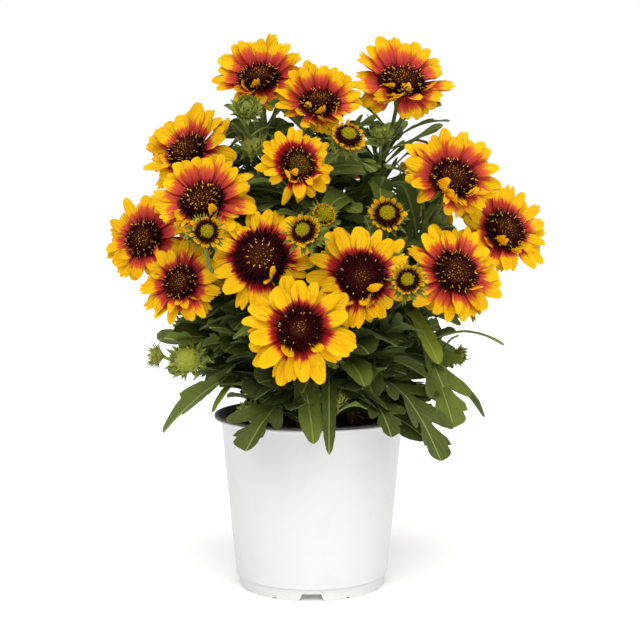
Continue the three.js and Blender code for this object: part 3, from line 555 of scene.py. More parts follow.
class Grower(Nodes):
    """A Geometry Nodes tree under construction."""

    def __init__(self, name: str) -> None:
        """Starts a tree that takes and gives a geometry.

        Args:
            name: The tree's name.
        """
        super().__init__(bpy.data.node_groups.new(name, "GeometryNodeTree"))
        for way in ("INPUT", "OUTPUT"):
            self.tree.interface.new_socket("Geometry", in_out=way, socket_type="NodeSocketGeometry")
        self.entry = self.add("NodeGroupInput")
        self.source = Wire(self, self.entry.outputs[0])

    def ask(self, *names: str, kind: str = "Float") -> list[Wire]:
        """Adds named inputs of a kind: Float, Int or Material.

        Args:
            names: The inputs' names.
            kind: The kind of all of them.

        Returns:
            The inputs.
        """
        for name in names:
            self.tree.interface.new_socket(name, in_out="INPUT", socket_type=f"NodeSocket{kind}")
        return [Wire(self, self.entry.outputs[name]) for name in names]

    def named(self, name: str) -> Wire:
        """A number that each point carries under a name."""
        return self.get("GeometryNodeInputNamedAttribute", {"Name": name}, data_type="FLOAT")

    def chance(self, low: Value, high: Value, seed: int) -> Wire:
        """A random number for each point, from a fixed seed."""
        inputs = {2: low, 3: high, "Seed": seed}
        return self.get("FunctionNodeRandomValue", inputs, 1, data_type="FLOAT")

    def chances(self, low: Point, high: Point, seed: int) -> Wire:
        """A random vector for each point, from a fixed seed."""
        return self.get("FunctionNodeRandomValue", {0: low, 1: high, "Seed": seed}, data_type="FLOAT_VECTOR")

    def sway(self, way: Wire, amount: float, seed: int) -> Wire:
        """Directions that each lean off at random, from a fixed seed."""
        lean = self.chances((-amount,) * 3, (amount,) * 3, seed)
        return self.get("ShaderNodeVectorMath", {0: way, 1: lean}, operation="ADD")

    def times(self, vector: Wire, number: Wire) -> Wire:
        """A vector made longer by a number."""
        return self.get("ShaderNodeVectorMath", {0: vector, "Scale": number}, operation="SCALE")

    def moved(self, geometry: Wire, **where: Wire) -> Wire:
        """A geometry set to a new Position or moved by an Offset."""
        return self.get("GeometryNodeSetPosition", {"Geometry": geometry, **where})

    def keep(self, geometry: Wire, **values: Value) -> Wire:
        """Stores numbers on each point under their names.

        Args:
            geometry: The geometry.
            values: The numbers.

        Returns:
            The geometry with its numbers.
        """
        for name, value in values.items():
            inputs = {"Geometry": geometry, "Name": name, "Value": value}
            geometry = self.get("GeometryNodeStoreNamedAttribute", inputs)
        return geometry

    def spike(self, sides: int, parts: int, top: float, bottom: float) -> Wire:
        """A cone of one unit's height, by its sides, its parts in height and its two radii."""
        inputs = {"Vertices": sides, "Side Segments": parts, "Depth": 1.0}
        return self.get("GeometryNodeMeshCone", {**inputs, "Radius Top": top, "Radius Bottom": bottom})

    def strewn(self, density: Wire, seed: Wire) -> tuple[Wire, Wire]:
        """Points strewn over the source where its "cover" number says, and the ways they face.

        Args:
            density: How many to the square metre where the cover is 1.
            seed: Where chance starts.

        Returns:
            The points and the normals there.
        """
        inputs = {"Mesh": self.source, "Seed": seed, "Density": density * self.named("cover")}
        node = self.add("GeometryNodeDistributePointsOnFaces", inputs)
        return Wire(self, node.outputs["Points"]), Wire(self, node.outputs["Normal"])

    def spread(self, points: Wire, form: Wire, facing: Wire, scale: Wire, material: Wire) -> Wire:
        """Sets a form on each point, its Z along a direction, and makes it real, with a material.

        Args:
            points: The points.
            form: The form.
            facing: The direction at each point.
            scale: The form's size at each point.
            material: The material.

        Returns:
            The forms as one geometry.
        """
        turn = self.get("FunctionNodeAlignRotationToVector", {"Vector": facing}, axis="Z")
        inputs = {"Points": points, "Instance": form, "Rotation": turn, "Scale": scale}
        made = self.get("GeometryNodeInstanceOnPoints", inputs)
        return self.dress(self.get("GeometryNodeRealizeInstances", {0: made}), material)

    def dress(self, geometry: Wire, material: Wire) -> Wire:
        """Gives a geometry its material."""
        return self.get("GeometryNodeSetMaterial", {"Geometry": geometry, "Material": material})

    def end(self, *parts: Wire) -> None:
        """Makes one or more geometries the tree's result.

        Args:
            parts: The geometries.
        """
        joined = self.add("GeometryNodeJoinGeometry")
        for part in parts:
            self.put(joined.inputs[0], part)
        self.put(self.add("NodeGroupOutput").inputs[0], Wire(self, joined.outputs[0]))

    def grow(self, source: Mesh, **values: object) -> Mesh:
        """Runs the tree and bakes its result.

        Args:
            source: The mesh that it starts from.
            values: The inputs, by name with "_" for a space.

        Returns:
            The result as a plain mesh.
        """
        carrier = place("carrier", source)
        modifier = carrier.modifiers.new("grow", "NODES")
        modifier.node_group = self.tree
        sockets = self.tree.interface.items_tree
        names = {item.name: item.identifier for item in sockets if item.in_out == "INPUT"}
        for name, value in values.items():
            modifier[names[name.replace("_", " ")]] = value
        return baked(carrier)


# ------------------------------------------------------------------------------- finishes
GLOW = {"subsurface_weight": 0.2, "subsurface_radius": (1.0, 0.6, 0.15), "subsurface_scale": 0.0015}
RAY_SHIFT = 31.0  # how far the pattern of each ray is from the next one's


@dataclass(frozen=True)
class RayFinish:
    """The upper face of a ray: yellow, with red streaks that run out from the disc, and painted shade along
    its edges and in its grooves.
    """

    yellow: Colour = srgb(229, 178, 4)
    gold: Colour = srgb(218, 144, 2)
    crimson: Colour = srgb(108, 1, 12)
    scarlet: Colour = srgb(158, 10, 22)
    rose: Colour = srgb(150, 22, 34)
    salmon: Colour = srgb(192, 68, 54)
    amber: Colour = srgb(212, 100, 34)

    def material(self) -> Material:
        """Builds the material.

        Returns:
            The material.
        """
        p = Paint("ray_upper", roughness=0.62, specular_ior_level=0.1, **GLOW)
        along, across, tone, reach, salmon = p.read("along", "across", "tone", "reach", "salmon")
        wide = p.vector(across * 2.2, along * 1.4, tone * RAY_SHIFT)
        fine = p.vector(across * 9.0, along * 1.6, tone * RAY_SHIFT)
        streak, thread = p.noise(1.6, 2.0, wide) - 0.5, p.noise(1.5, 3.0, fine) - 0.5
        half = (along / reach + streak * 0.4 + thread * 0.6) * 0.5
        deep, mild, rest = (0.0, self.crimson), (0.28, self.crimson), (0.43, self.scarlet)
        red = p.ramp(half, deep, mild, rest, (0.49, self.amber), (0.55, self.yellow))
        mild, rest = (0.18, self.rose), (0.37, self.salmon)
        pale = p.ramp(half, deep, mild, rest, (0.5, self.amber), (0.57, self.yellow))
        colour = p.mix(salmon, red, pale)
        cloud = p.ease(p.noise(1.2, 2.0, wide), 0.35, 0.75)
        colour = p.mix(cloud * 0.35, colour, p.mix(0.75, colour, self.gold, "MULTIPLY"))
        fold = p.math("COSINE", across * 19.0)
        # Painted shade: darker at the ray's edges, where the next ray overlaps it, and in its lengthwise
        # grooves; the darker threads are the ray's own streaks.
        dark = p.ease(abs(across), 0.82, 1.0) * 0.34 + p.ease(fold, 0.2, 1.0) * 0.07
        dark = dark + p.ease(thread, 0.02, 0.2) * 0.16
        p.bump(thread * 0.9 + fold * -0.3, 0.5, 0.55)
        return p.done(p.lit(colour, tone * 0.14 + 0.96 - dark))


@dataclass(frozen=True)
class RayBackFinish:
    """The lower face of a ray: plain, duller yellow with fine lengthwise veins."""

    yellow: Colour = srgb(238, 170, 6)
    vein: Colour = srgb(206, 134, 6)
    base: Colour = srgb(168, 120, 20)

    def material(self) -> Material:
        """Builds the material.

        Returns:
            The material.
        """
        p = Paint("ray_lower", roughness=0.62, specular_ior_level=0.1, **GLOW)
        along, across, tone = p.read("along", "across", "tone")
        thread = p.noise(1.5, 3.0, p.vector(across * 9.0, along, tone * RAY_SHIFT))
        colour = p.mix(p.ease(thread, 0.4, 0.8), self.yellow, self.vein)
        p.bump(thread, 0.4, 0.4)
        return p.done(p.mix(p.ease(along, 0.35, 0.0), colour, self.base))


@dataclass(frozen=True)
class FloretFinish:
    """The disc florets: brown stipple in the middle, with painted shade at the foot of each floret, and
    near-black maroon spikes round it.
    """

    # painted shade, at the foot of each floret
    shade: Colour = srgb(32, 9, 4)
    middle: Colour = srgb(112, 54, 14)
    lit: Colour = srgb(176, 112, 22)
    green: Colour = srgb(140, 122, 14)
    ring: Colour = srgb(52, 5, 8)
    edge: Colour = srgb(28, 4, 5)
    tip: Colour = srgb(206, 150, 16)

    def material(self) -> Material:
        """Builds the material.

        Returns:
            The material.
        """
        p = Paint("disc_floret", roughness=0.75, specular_ior_level=0.06)
        zone, tone, height, fresh, core, ring = p.read("zone", "tone", "height", "fresh", "core", "ring")
        centre = p.mix(p.ease(tone, 0.45, 0.95), p.mix(fresh, self.middle, self.green), self.lit)
        # The foot of each floret takes the shade colour: painted shade in the gaps between florets.
        centre = p.mix(p.ease(height, 0.0, 0.75), self.shade, centre)
        past = zone + (tone - 0.5) * 0.12 - core
        colour = p.mix(p.ease(zone, 0.5, 0.95), self.ring, self.edge)
        colour = p.mix(p.ease(past, -0.09, 0.09), centre, colour)
        golden = p.ease(height, 0.62, 0.76) * p.ease(past, 0.0, 0.08)
        golden = golden * p.ease(tone + core * 0.8, 1.17, 1.2) * p.ease(zone - ring, 0.16, 0.06)
        p.bump(p.noise(2600.0, 1.0), 0.25, 0.2)
        return p.done(p.lit(p.mix(golden, colour, self.tip), tone * 0.8 + 0.6))


@dataclass(frozen=True)
class PollenFinish:
    """Grains of bright pollen."""

    pale: Colour = srgb(246, 208, 40)
    deep: Colour = srgb(224, 160, 16)

    def material(self) -> Material:
        """Builds the material.

        Returns:
            The material.
        """
        p = Paint("pollen", roughness=0.8)
        speck = p.noise(3000.0, 1.0)
        p.bump(speck, 0.5, 0.2)
        return p.done(p.mix(speck, self.pale, self.deep))


@dataclass(frozen=True)
class ButtonFinish:
    """The closed florets of a half-open head: a yellow-green dome in a dark ring, with painted shade at the
    foot of each floret.
    """

    crown: Colour = srgb(172, 158, 4)
    # painted shade at the foot of the florets, and the duller of their random tones
    dim: Colour = srgb(124, 108, 2)
    ring: Colour = srgb(46, 8, 6)

    def material(self) -> Material:
        """Builds the material.

        Returns:
            The material.
        """
        p = Paint("button_floret", roughness=0.75, specular_ior_level=0.06)
        zone, tone, height, fresh = p.read("zone", "tone", "height", "fresh")
        # Darker towards the foot of each floret, mixed with random tone: painted shade in the gaps between
        # florets.
        dome = p.mix(p.ease(height + tone, 0.2, 1.2), self.dim, self.crown)
        edge = zone + (tone - 0.5) * 0.16 - fresh * 0.5
        p.bump(p.noise(2600.0, 1.0), 0.2, 0.2)
        return p.done(p.lit(p.mix(p.ease(edge, 0.43, 0.51), dome, self.ring), tone * 0.4 + 0.8))


@dataclass(frozen=True)
class LeafFinish:
    """The upper face of a leaf: matt, downy green with a pale midrib and faint side veins."""

    bright: Colour = srgb(122, 134, 16)
    green: Colour = srgb(90, 101, 32)
    deep: Colour = srgb(58, 67, 26)
    rib: Colour = srgb(156, 168, 84)
    down: Colour = srgb(114, 124, 56)

    def material(self) -> Material:
        """Builds the material.

        Returns:
            The material.
        """
        sheen = {"sheen_weight": 0.03, "sheen_roughness": 0.4}
        p = Paint("leaf_upper", roughness=0.62, specular_ior_level=0.2, **sheen)
        along, across, tone, off = p.read("along", "across", "tone", "off")
        cloud, wide = p.noise(90.0, 3.0), abs(across)
        # tone is random for most leaves and given for some; leaves grown deep in the plant are darker the
        # lower they grow, as painted shade.
        body = p.ramp(tone, (0.0, self.deep), (0.45, self.green), (1.0, self.bright))
        body = p.lit(body, cloud * 0.56 + 0.72)
        vein = abs(p.math("COSINE", along * 46.0 - wide * 9.0 + cloud * 3.0)) ** 10.0
        vein = vein * p.ease(wide, 1.0, 0.5)
        rib = p.ease(off, 0.95, 0.35)
        colour = p.mix(vein * 0.08, body, self.rib)
        colour = p.mix(p.ease(p.noise(900.0, 2.0), 0.55, 0.8) * 0.2, colour, self.down)
        colour = p.mix(rib * 0.7, colour, self.rib)
        p.bump(p.noise(420.0, 3.0) * 0.6 - vein * 0.2 - rib, 0.55, 0.5)
        return p.done(p.mix(p.ease(wide, 0.93, 1.0) * 0.35, colour, self.down))


@dataclass(frozen=True)
class LeafBackFinish:
    """The lower face of a leaf: paler and greyer, with a raised midrib."""

    green: Colour = srgb(98, 112, 44)
    rib: Colour = srgb(150, 160, 90)

    def material(self) -> Material:
        """Builds the material.

        Returns:
            The material.
        """
        p = Paint("leaf_lower", roughness=0.7, specular_ior_level=0.2, sheen_weight=0.05)
        tone, off = p.read("tone", "off")
        rib = p.ease(off, 1.3, 0.5)
        p.bump(rib + p.noise(500.0, 3.0) * 0.5, 0.5, 0.5)
        return p.done(p.lit(p.mix(rib * 0.7, self.green, self.rib), tone * 0.5 + 0.62))


@dataclass(frozen=True)
class StemFinish:
    """A ridged, downy stem, reddish near the soil."""

    green: Colour = srgb(94, 108, 38)
    pale: Colour = srgb(138, 148, 74)
    red: Colour = srgb(110, 62, 44)

    def material(self) -> Material:
        """Builds the material.

        Returns:
            The material.
        """
        p = Paint("stem", roughness=0.6, specular_ior_level=0.25, sheen_weight=0.12, sheen_roughness=0.4)
        where = p.get("ShaderNodeTexCoord", output="Object")
        drawn_out = p.get("ShaderNodeMapping", {"Vector": where, "Scale": (900.0, 900.0, 60.0)})
        streaks = p.noise(1.0, 3.0, drawn_out)
        colour = p.mix(p.ease(streaks, 0.35, 0.75), self.green, self.pale)
        height = p.get("ShaderNodeSeparateXYZ", {0: where}, 2)
        p.bump(streaks, 0.5, 0.4)
        return p.done(p.mix(p.ease(height, 0.2, 0.13) * 0.7, colour, self.red))


@dataclass(frozen=True)
class BractFinish:
    """The narrow, pointed green leaves round the back of a head, paler at the edge and tip."""

    green: Colour = srgb(104, 118, 34)
    pale: Colour = srgb(166, 163, 80)
    dark: Colour = srgb(44, 52, 16)

    def material(self) -> Material:
        """Builds the material.

        Returns:
            The material.
        """
        p = Paint("bract", roughness=0.66, specular_ior_level=0.15, sheen_weight=0.04, sheen_roughness=0.4)
        along, across, tone = p.read("along", "across", "tone")
        wide = abs(across)
        colour = p.mix(p.ease(along, 0.45, 0.0), self.green, self.dark)
        edge = p.math("MAXIMUM", p.ease(wide, 0.55, 1.0), p.ease(wide, 0.22, 0.04))
        colour = p.mix(edge * 0.5, colour, self.pale)
        colour = p.mix(p.ease(along, 0.8, 1.0) * 0.5, colour, self.pale)
        p.bump(p.noise(1100.0, 3.0), 0.6, 0.35)
        return p.done(p.lit(colour, tone * 0.6 + 0.7))


@dataclass(frozen=True)
class DomeFinish:
    """The woolly yellow-green middle that shows in a bud about to open."""

    lime: Colour = srgb(154, 158, 4)
    green: Colour = srgb(110, 118, 2)

    def material(self) -> Material:
        """Builds the material.

        Returns:
            The material.
        """
        p = Paint("bud_dome", roughness=0.7, sheen_weight=0.3)
        grain = p.noise(1300.0, 3.0)
        p.bump(grain, 0.8, 0.6)
        return p.done(p.mix(p.ease(grain, 0.3, 0.7), self.green, self.lime))


@dataclass(frozen=True)
class HairFinish:
    """Fine pale hairs."""

    pale: Colour = srgb(160, 162, 92)

    def material(self) -> Material:
        """Builds the material."""
        p = Paint("hair", roughness=0.6, sheen_weight=0.2)
        return p.done(p.lit(self.pale, p.noise(700.0, 1.0) * 0.4 + 0.8))


@dataclass(frozen=True)
class PlasticFinish:
    """Moulded pot plastic, with the slight waviness and scuffs of a thin wall."""

    name: str
    colour: Colour
    scuffed: Colour
    roughness: float

    def material(self) -> Material:
        """Builds the material.

        Returns:
            The material.
        """
        p = Paint(self.name, specular_ior_level=0.45)
        scuff = p.ease(p.noise(45.0, 5.0), 0.5, 0.75)
        p.bump(p.noise(28.0, 1.0) + p.noise(2400.0, 1.0) * 0.05, 0.3, 0.3)
        rough = p.noise(160.0, 3.0) * 0.14 + self.roughness
        return p.done(p.mix(scuff * 0.5, self.colour, self.scuffed), rough)


@dataclass(frozen=True)
class SoilFinish:
    """Damp potting mix."""

    black: Colour = srgb(24, 16, 12)
    brown: Colour = srgb(66, 46, 32)

    def material(self) -> Material:
        """Builds the material.

        Returns:
            The material.
        """
        p = Paint("potting_mix", roughness=0.92)
        grain = p.noise(420.0, 5.0)
        p.bump(grain, 0.9, 1.6)
        return p.done(p.mix(p.ease(grain, 0.45, 0.7), self.black, self.brown))


@dataclass(frozen=True)
class CrumbFinish:
    """Crumbs of bark and peat, from black to tan."""

    black: Colour = srgb(30, 20, 14)
    brown: Colour = srgb(84, 54, 34)
    tan: Colour = srgb(168, 124, 78)

    def material(self) -> Material:
        """Builds the material.

        Returns:
            The material.
        """
        p = Paint("crumb", roughness=0.88)
        [tone] = p.read("tone")
        colour = p.ramp(tone, (0.0, self.black), (0.62, self.brown), (0.86, self.brown), (0.94, self.tan))
        grain = p.noise(900.0, 4.0)
        p.bump(grain, 0.8, 0.6)
        return p.done(p.lit(colour, grain * 0.6 + 0.7))


class Palette:
    """Every finish of the plant and its pot, each made once."""

    def __init__(self) -> None:
        """Makes the materials."""
        self.ray, self.ray_back = RayFinish().material(), RayBackFinish().material()
        self.floret, self.pollen = FloretFinish().material(), PollenFinish().material()
        self.button = ButtonFinish().material()
        self.leaf, self.leaf_back = LeafFinish().material(), LeafBackFinish().material()
        self.stem, self.bract = StemFinish().material(), BractFinish().material()
        self.dome, self.hair = DomeFinish().material(), HairFinish().material()
        self.soil, self.crumb = SoilFinish().material(), CrumbFinish().material()
        self.white, self.dark, self.inner = (
            PlasticFinish(name, srgb(*colour), srgb(*scuffed), roughness).material()
            for name, colour, scuffed, roughness in (
                ("pot_white", (217, 217, 216), (211, 211, 210), 0.36),
                ("pot_dark", (66, 63, 62), (92, 88, 86), 0.42),
                # the inside: dark plastic, made darker than the rim as painted shade inside the lip
                ("pot_inner_dark_and_shade", (40, 38, 37), (56, 53, 51), 0.5),
            )
        )


# ------------------------------------------------------------------------------- flower heads
class Kind(Enum):
    """The kinds of flower head."""

    BLOOM = "bloom"
    BUTTON = "button"
    BUD = "bud"


@dataclass(frozen=True)
class Head:
    """A flower head on its stem.

    "start" is how far up the shoot's first stem this one forks off, and "neck" how far the stem
    runs straight to the head, along its axis and up, where it isn't usual. The rest is the looks:
    how far up the rays rise, how far red reaches along them, how much of it is salmon, and how
    many of the near ones curl up over the disc; how green the middle still is (of a bud, how far
    it is open), how wide the disc and its middle are, how many grains of pollen show and how far
    out, and how many degrees the open face has turned up on its stem.
    """

    kind: Kind
    name: str
    shoot: str
    at: Point
    faces: Pair
    radius: float
    cup: float = 0.0
    reach: float = 0.5
    salmon: float = 0.5
    curled: float = 0.0
    start: float = 0.0
    neck: Pair | None = None
    fresh: float = 0.0
    disc: float = 0.92
    core: float = 0.42
    grains: int = 34
    ring: float = 0.86
    lean: float = 0.0

    def axes(self) -> Axes:
        """The head's own axes.

        Returns:
            The axes, from the centre of the head's disc.
        """
        out = way_of(*(math.radians(a) for a in self.faces))
        side = unit(np.cross(UP, out))
        return Axes(np.array(self.at, float), out, side, np.cross(out, side))

    def draw(self, seed: int) -> Draw:
        """The head's own draw of numbers for a purpose."""
        return Draw(seed + 100 * int(self.name))


bloom, button, bud = (partial(Head, kind) for kind in Kind)
HEADS: tuple[Head, ...] = (
    bloom("01", "01", (-42, -16, 422), (-97, 34), 38, 15, 0.6, 0.85, 0.7, lean=19, core=0.4),
    bloom("02", "03", (6, -44, 400), (-86, 34), 36, 15, 0.58, 0.85, 0.6, lean=20, grains=26),
    bloom("03", "02", (73, -20, 418), (-78, 34), 43, 10, 0.6, 0.9, 0.85, lean=18, core=0.46, grains=40),
    bloom(
        "04", "04", (-98, -28, 362), (-120, 32), 41, 13, 0.5, 0.7, 0.55,
        lean=12, core=0.44, grains=36, disc=0.84,
    ),
    bloom("05", "05", (-83, -82, 322), (-100, 28), 40, 10, 0.62, 0.9, 0.65, lean=13, grains=46, ring=0.6),
    bloom("06", "04", (-134, -34, 292), (-110, 18), 38, 6, 0.55, 0.7, 0.5, start=0.42, disc=0.82, grains=22),
    bloom(
        "07", "03", (-12, -90, 350.5), (-68, 14), 30.5, 6, 0.55, 0.05, 0.6,
        start=0.5, fresh=0.7, core=0.5, grains=14,
    ),
    bloom("08", "08", (110, -60, 340), (-74, 24), 41, 9, 0.6, 0.75, 0.75, lean=12, grains=44, disc=0.98),
    bloom("09", "09", (156, -22, 298), (-64, 22), 41, 6, 0.52, 0.5, 0.35, lean=5, grains=36),
    bloom("10", "08", (111, -78, 267), (-70, 20), 40, 6, 0.58, 0.75, 0.2, start=0.4, core=0.48, grains=24),
    bloom("11", "07", (38, -108, 265), (-86, 16), 41, 4, 0.5, 0.12, 0.5, disc=0.98, core=0.24, grains=16),
    bloom("12", "06", (-38, -98, 280), (-94, 16), 41, 2, 0.52, 0.1, 0.35, disc=1.12, core=0.32, ring=0.42),
    bloom(
        "13", "05", (-101, -74, 259), (-108, 18), 34.5, 2, 0.55, 0.5, 0.3,
        start=0.4, core=0.46, grains=18, disc=0.8,
    ),
    bloom(
        "14", "07", (-8, -138, 229), (-92, 12), 41, 0, 0.42, 0.1, 0.12,
        start=0.3, disc=0.8, core=0.3, grains=12,
    ),
    bloom("15", "11", (-88, 66, 308), (142, 40), 38, 8, 0.55, 0.6, 0.3),
    bloom("16", "10", (8, 70, 348), (92, 48), 38, 10, 0.58, 0.8, 0.3),
    bloom("17", "10", (104, 58, 328), (44, 40), 38, 8, 0.5, 0.4, 0.3, start=0.45),
    bloom("18", "11", (-72, 112, 252), (118, 22), 39, 4, 0.42, 0.1, 0.15, start=0.35),
    bloom("19", "10", (34, 126, 270), (80, 22), 39, 4, 0.5, 0.6, 0.2, start=0.3),
    bloom("20", "09", (128, 70, 250), (26, 24), 37, 6, 0.46, 0.2, 0.2, start=0.3),
    button("21", "03", (27.5, -78, 371), (-76, 38), 13.5, start=0.8, neck=(10, 10), disc=1.08),
    button("22", "05", (-78, -130, 301), (-80, 10), 13, start=0.5, neck=(10, 45)),
    button("23", "03", (-4, -132, 300), (-106, 24), 14, start=0.42, neck=(30, 20)),
    button("24", "07", (59, -82, 312), (-90, 22), 14, start=0.62, disc=1.04),
    button("25", "08", (73, -126, 264), (-96, 18), 13, start=0.3),
    button("26", "06", (9, -94, 312), (-76, 24), 11, start=0.75, fresh=0.65),
    button("27", "11", (-40, 92, 322), (108, 44), 13, start=0.6),
    bud("28", "01", (-52, -54, 396), (-76, 40), 11, start=0.66),
    bud("29", "01", (-47, -30, 367), (-100, 58), 11, start=0.6, fresh=0.9),
    bud("30", "02", (56, -36, 376), (-90, 70), 9, start=0.62),
    bud("31", "04", (-124, -62, 201), (-160, 4), 7, start=0.14, fresh=0.8),
    bud("32", "05", (-98, -72, 199), (-104, 16), 10.5, start=0.16, fresh=1.0),
    bud("33", "05", (-50, -76, 158), (-110, 60), 7.5, start=0.03),
    bud("34", "07", (21, -84, 168), (-90, 64), 7, start=0.04),
    bud("35", "09", (121, -22, 197), (-40, -12), 7.5, start=0.2),
    bud("36", "11", (-112, 52, 214), (150, 30), 9, start=0.2),
    bud("37", "10", (88, 108, 214), (50, 30), 9, start=0.18),
)
SHOOTS: dict[str, Pair] = {
    "01": (-15, -6), "02": (17, -5), "03": (1, -15), "04": (-34, -5), "05": (-29, -24), "06": (-11, -34),
    "07": (12, -33), "08": (32, -22), "09": (36, 4), "10": (17, 20), "11": (-17, 19),
}
DROP = dict(zip(Kind, (7.0, 6.0, 6.0)))  # how deep the green back of a head is
BACK = dict(zip(Kind, (0.25, 0.6, 0.68)))  # its radius as a share of the head's
THICK = dict(zip(Kind, (1.75, 1.5, 1.2)))  # the stem's radius
BRIGHT = dict(zip(Kind, (0.8, 0.4, 1.7)))  # how bright its bracts are


@dataclass(frozen=True)
class Petal:
    """One ray: where it leaves the hub, how it runs, and how its tip is cut."""

    angle: float
    length: float
    half: float
    rise: float
    bend: float
    power: float
    twist: float
    gutter: float
    lobes: int
    cut: float
    seat: float
    phase: float
    skew: float = 0.0

    WIDTH = ((0, 0.25, 0.55, 0.78, 1), (0.42, 0.62, 0.94, 1, 0.88))
    STEPS = 29

    def tip(self, across: Array) -> Array:
        """How far the ray reaches at a share of its width, as a share of its length.

        Args:
            across: The share of the half width, from -1 to 1.

        Returns:
            The share of the length.
        """
        wide = np.abs(across)
        if self.lobes == 1:
            return 1 - 0.26 * wide**2.9
        if self.lobes == 2:
            return 1 - self.cut * ((wide - 0.45) / 0.45) ** 2 - 0.16 * wide**5
        middle = 1 - self.cut * (across / 0.36) ** 2
        side = 0.95 - self.cut * ((wide - 0.66) / 0.34) ** 2 - 0.14 * wide**8
        return np.maximum(middle, side)

    def grid(self, axes: Axes, root: float, rows: int = 10, columns: int = 11) -> tuple[Array, ...]:
        """The upper face of the ray.

        Args:
            axes: The head's axes.
            root: The radius at which the ray starts.
            rows: Points along it.
            columns: Points across it.

        Returns:
            Its points, and for each of them its share of the length and of the half width.
        """
        v, u = np.meshgrid(np.linspace(0, 1, rows), np.linspace(-1, 1, columns), indexing="ij")
        reach = v * (1 - (1 - self.tip(u)) * v**2.5)
        width = self.half * smooth_through(*self.WIDTH, v)
        s = np.linspace(0, 1, self.STEPS + 1)
        slope = np.radians(self.rise + self.bend * s**self.power)
        step = self.length / self.STEPS
        out = root + np.concatenate([[0], np.cumsum(np.cos(slope[:-1]) * step)])
        up = self.seat + np.concatenate([[0], np.cumsum(np.sin(slope[:-1]) * step)])
        r, h, lean = (np.interp(reach, s, line)[..., None] for line in (out, up, slope))
        radial = axes.radial(self.angle + self.skew * reach)
        around = np.cross(axes.out, radial)
        face = axes.out * np.cos(lean) - radial * np.sin(lean)
        roll = np.radians(self.twist) * reach[..., None]
        edge = around * np.cos(roll) + face * np.sin(roll)
        normal = face * np.cos(roll) - around * np.sin(roll)
        ribs = 0.34 * np.cos(3 * math.pi * u) * np.sin(math.pi * v * 0.92)
        relief = self.gutter * np.abs(u) ** 1.8 * width + ribs
        relief += 0.13 * width * u**2 * np.sin(7 * v + self.phase + 1.6 * np.sign(u)) * v
        points = axes.at + radial * r + axes.out * h
        return points + edge * (u * width)[..., None] + normal * relief[..., None], reach, u


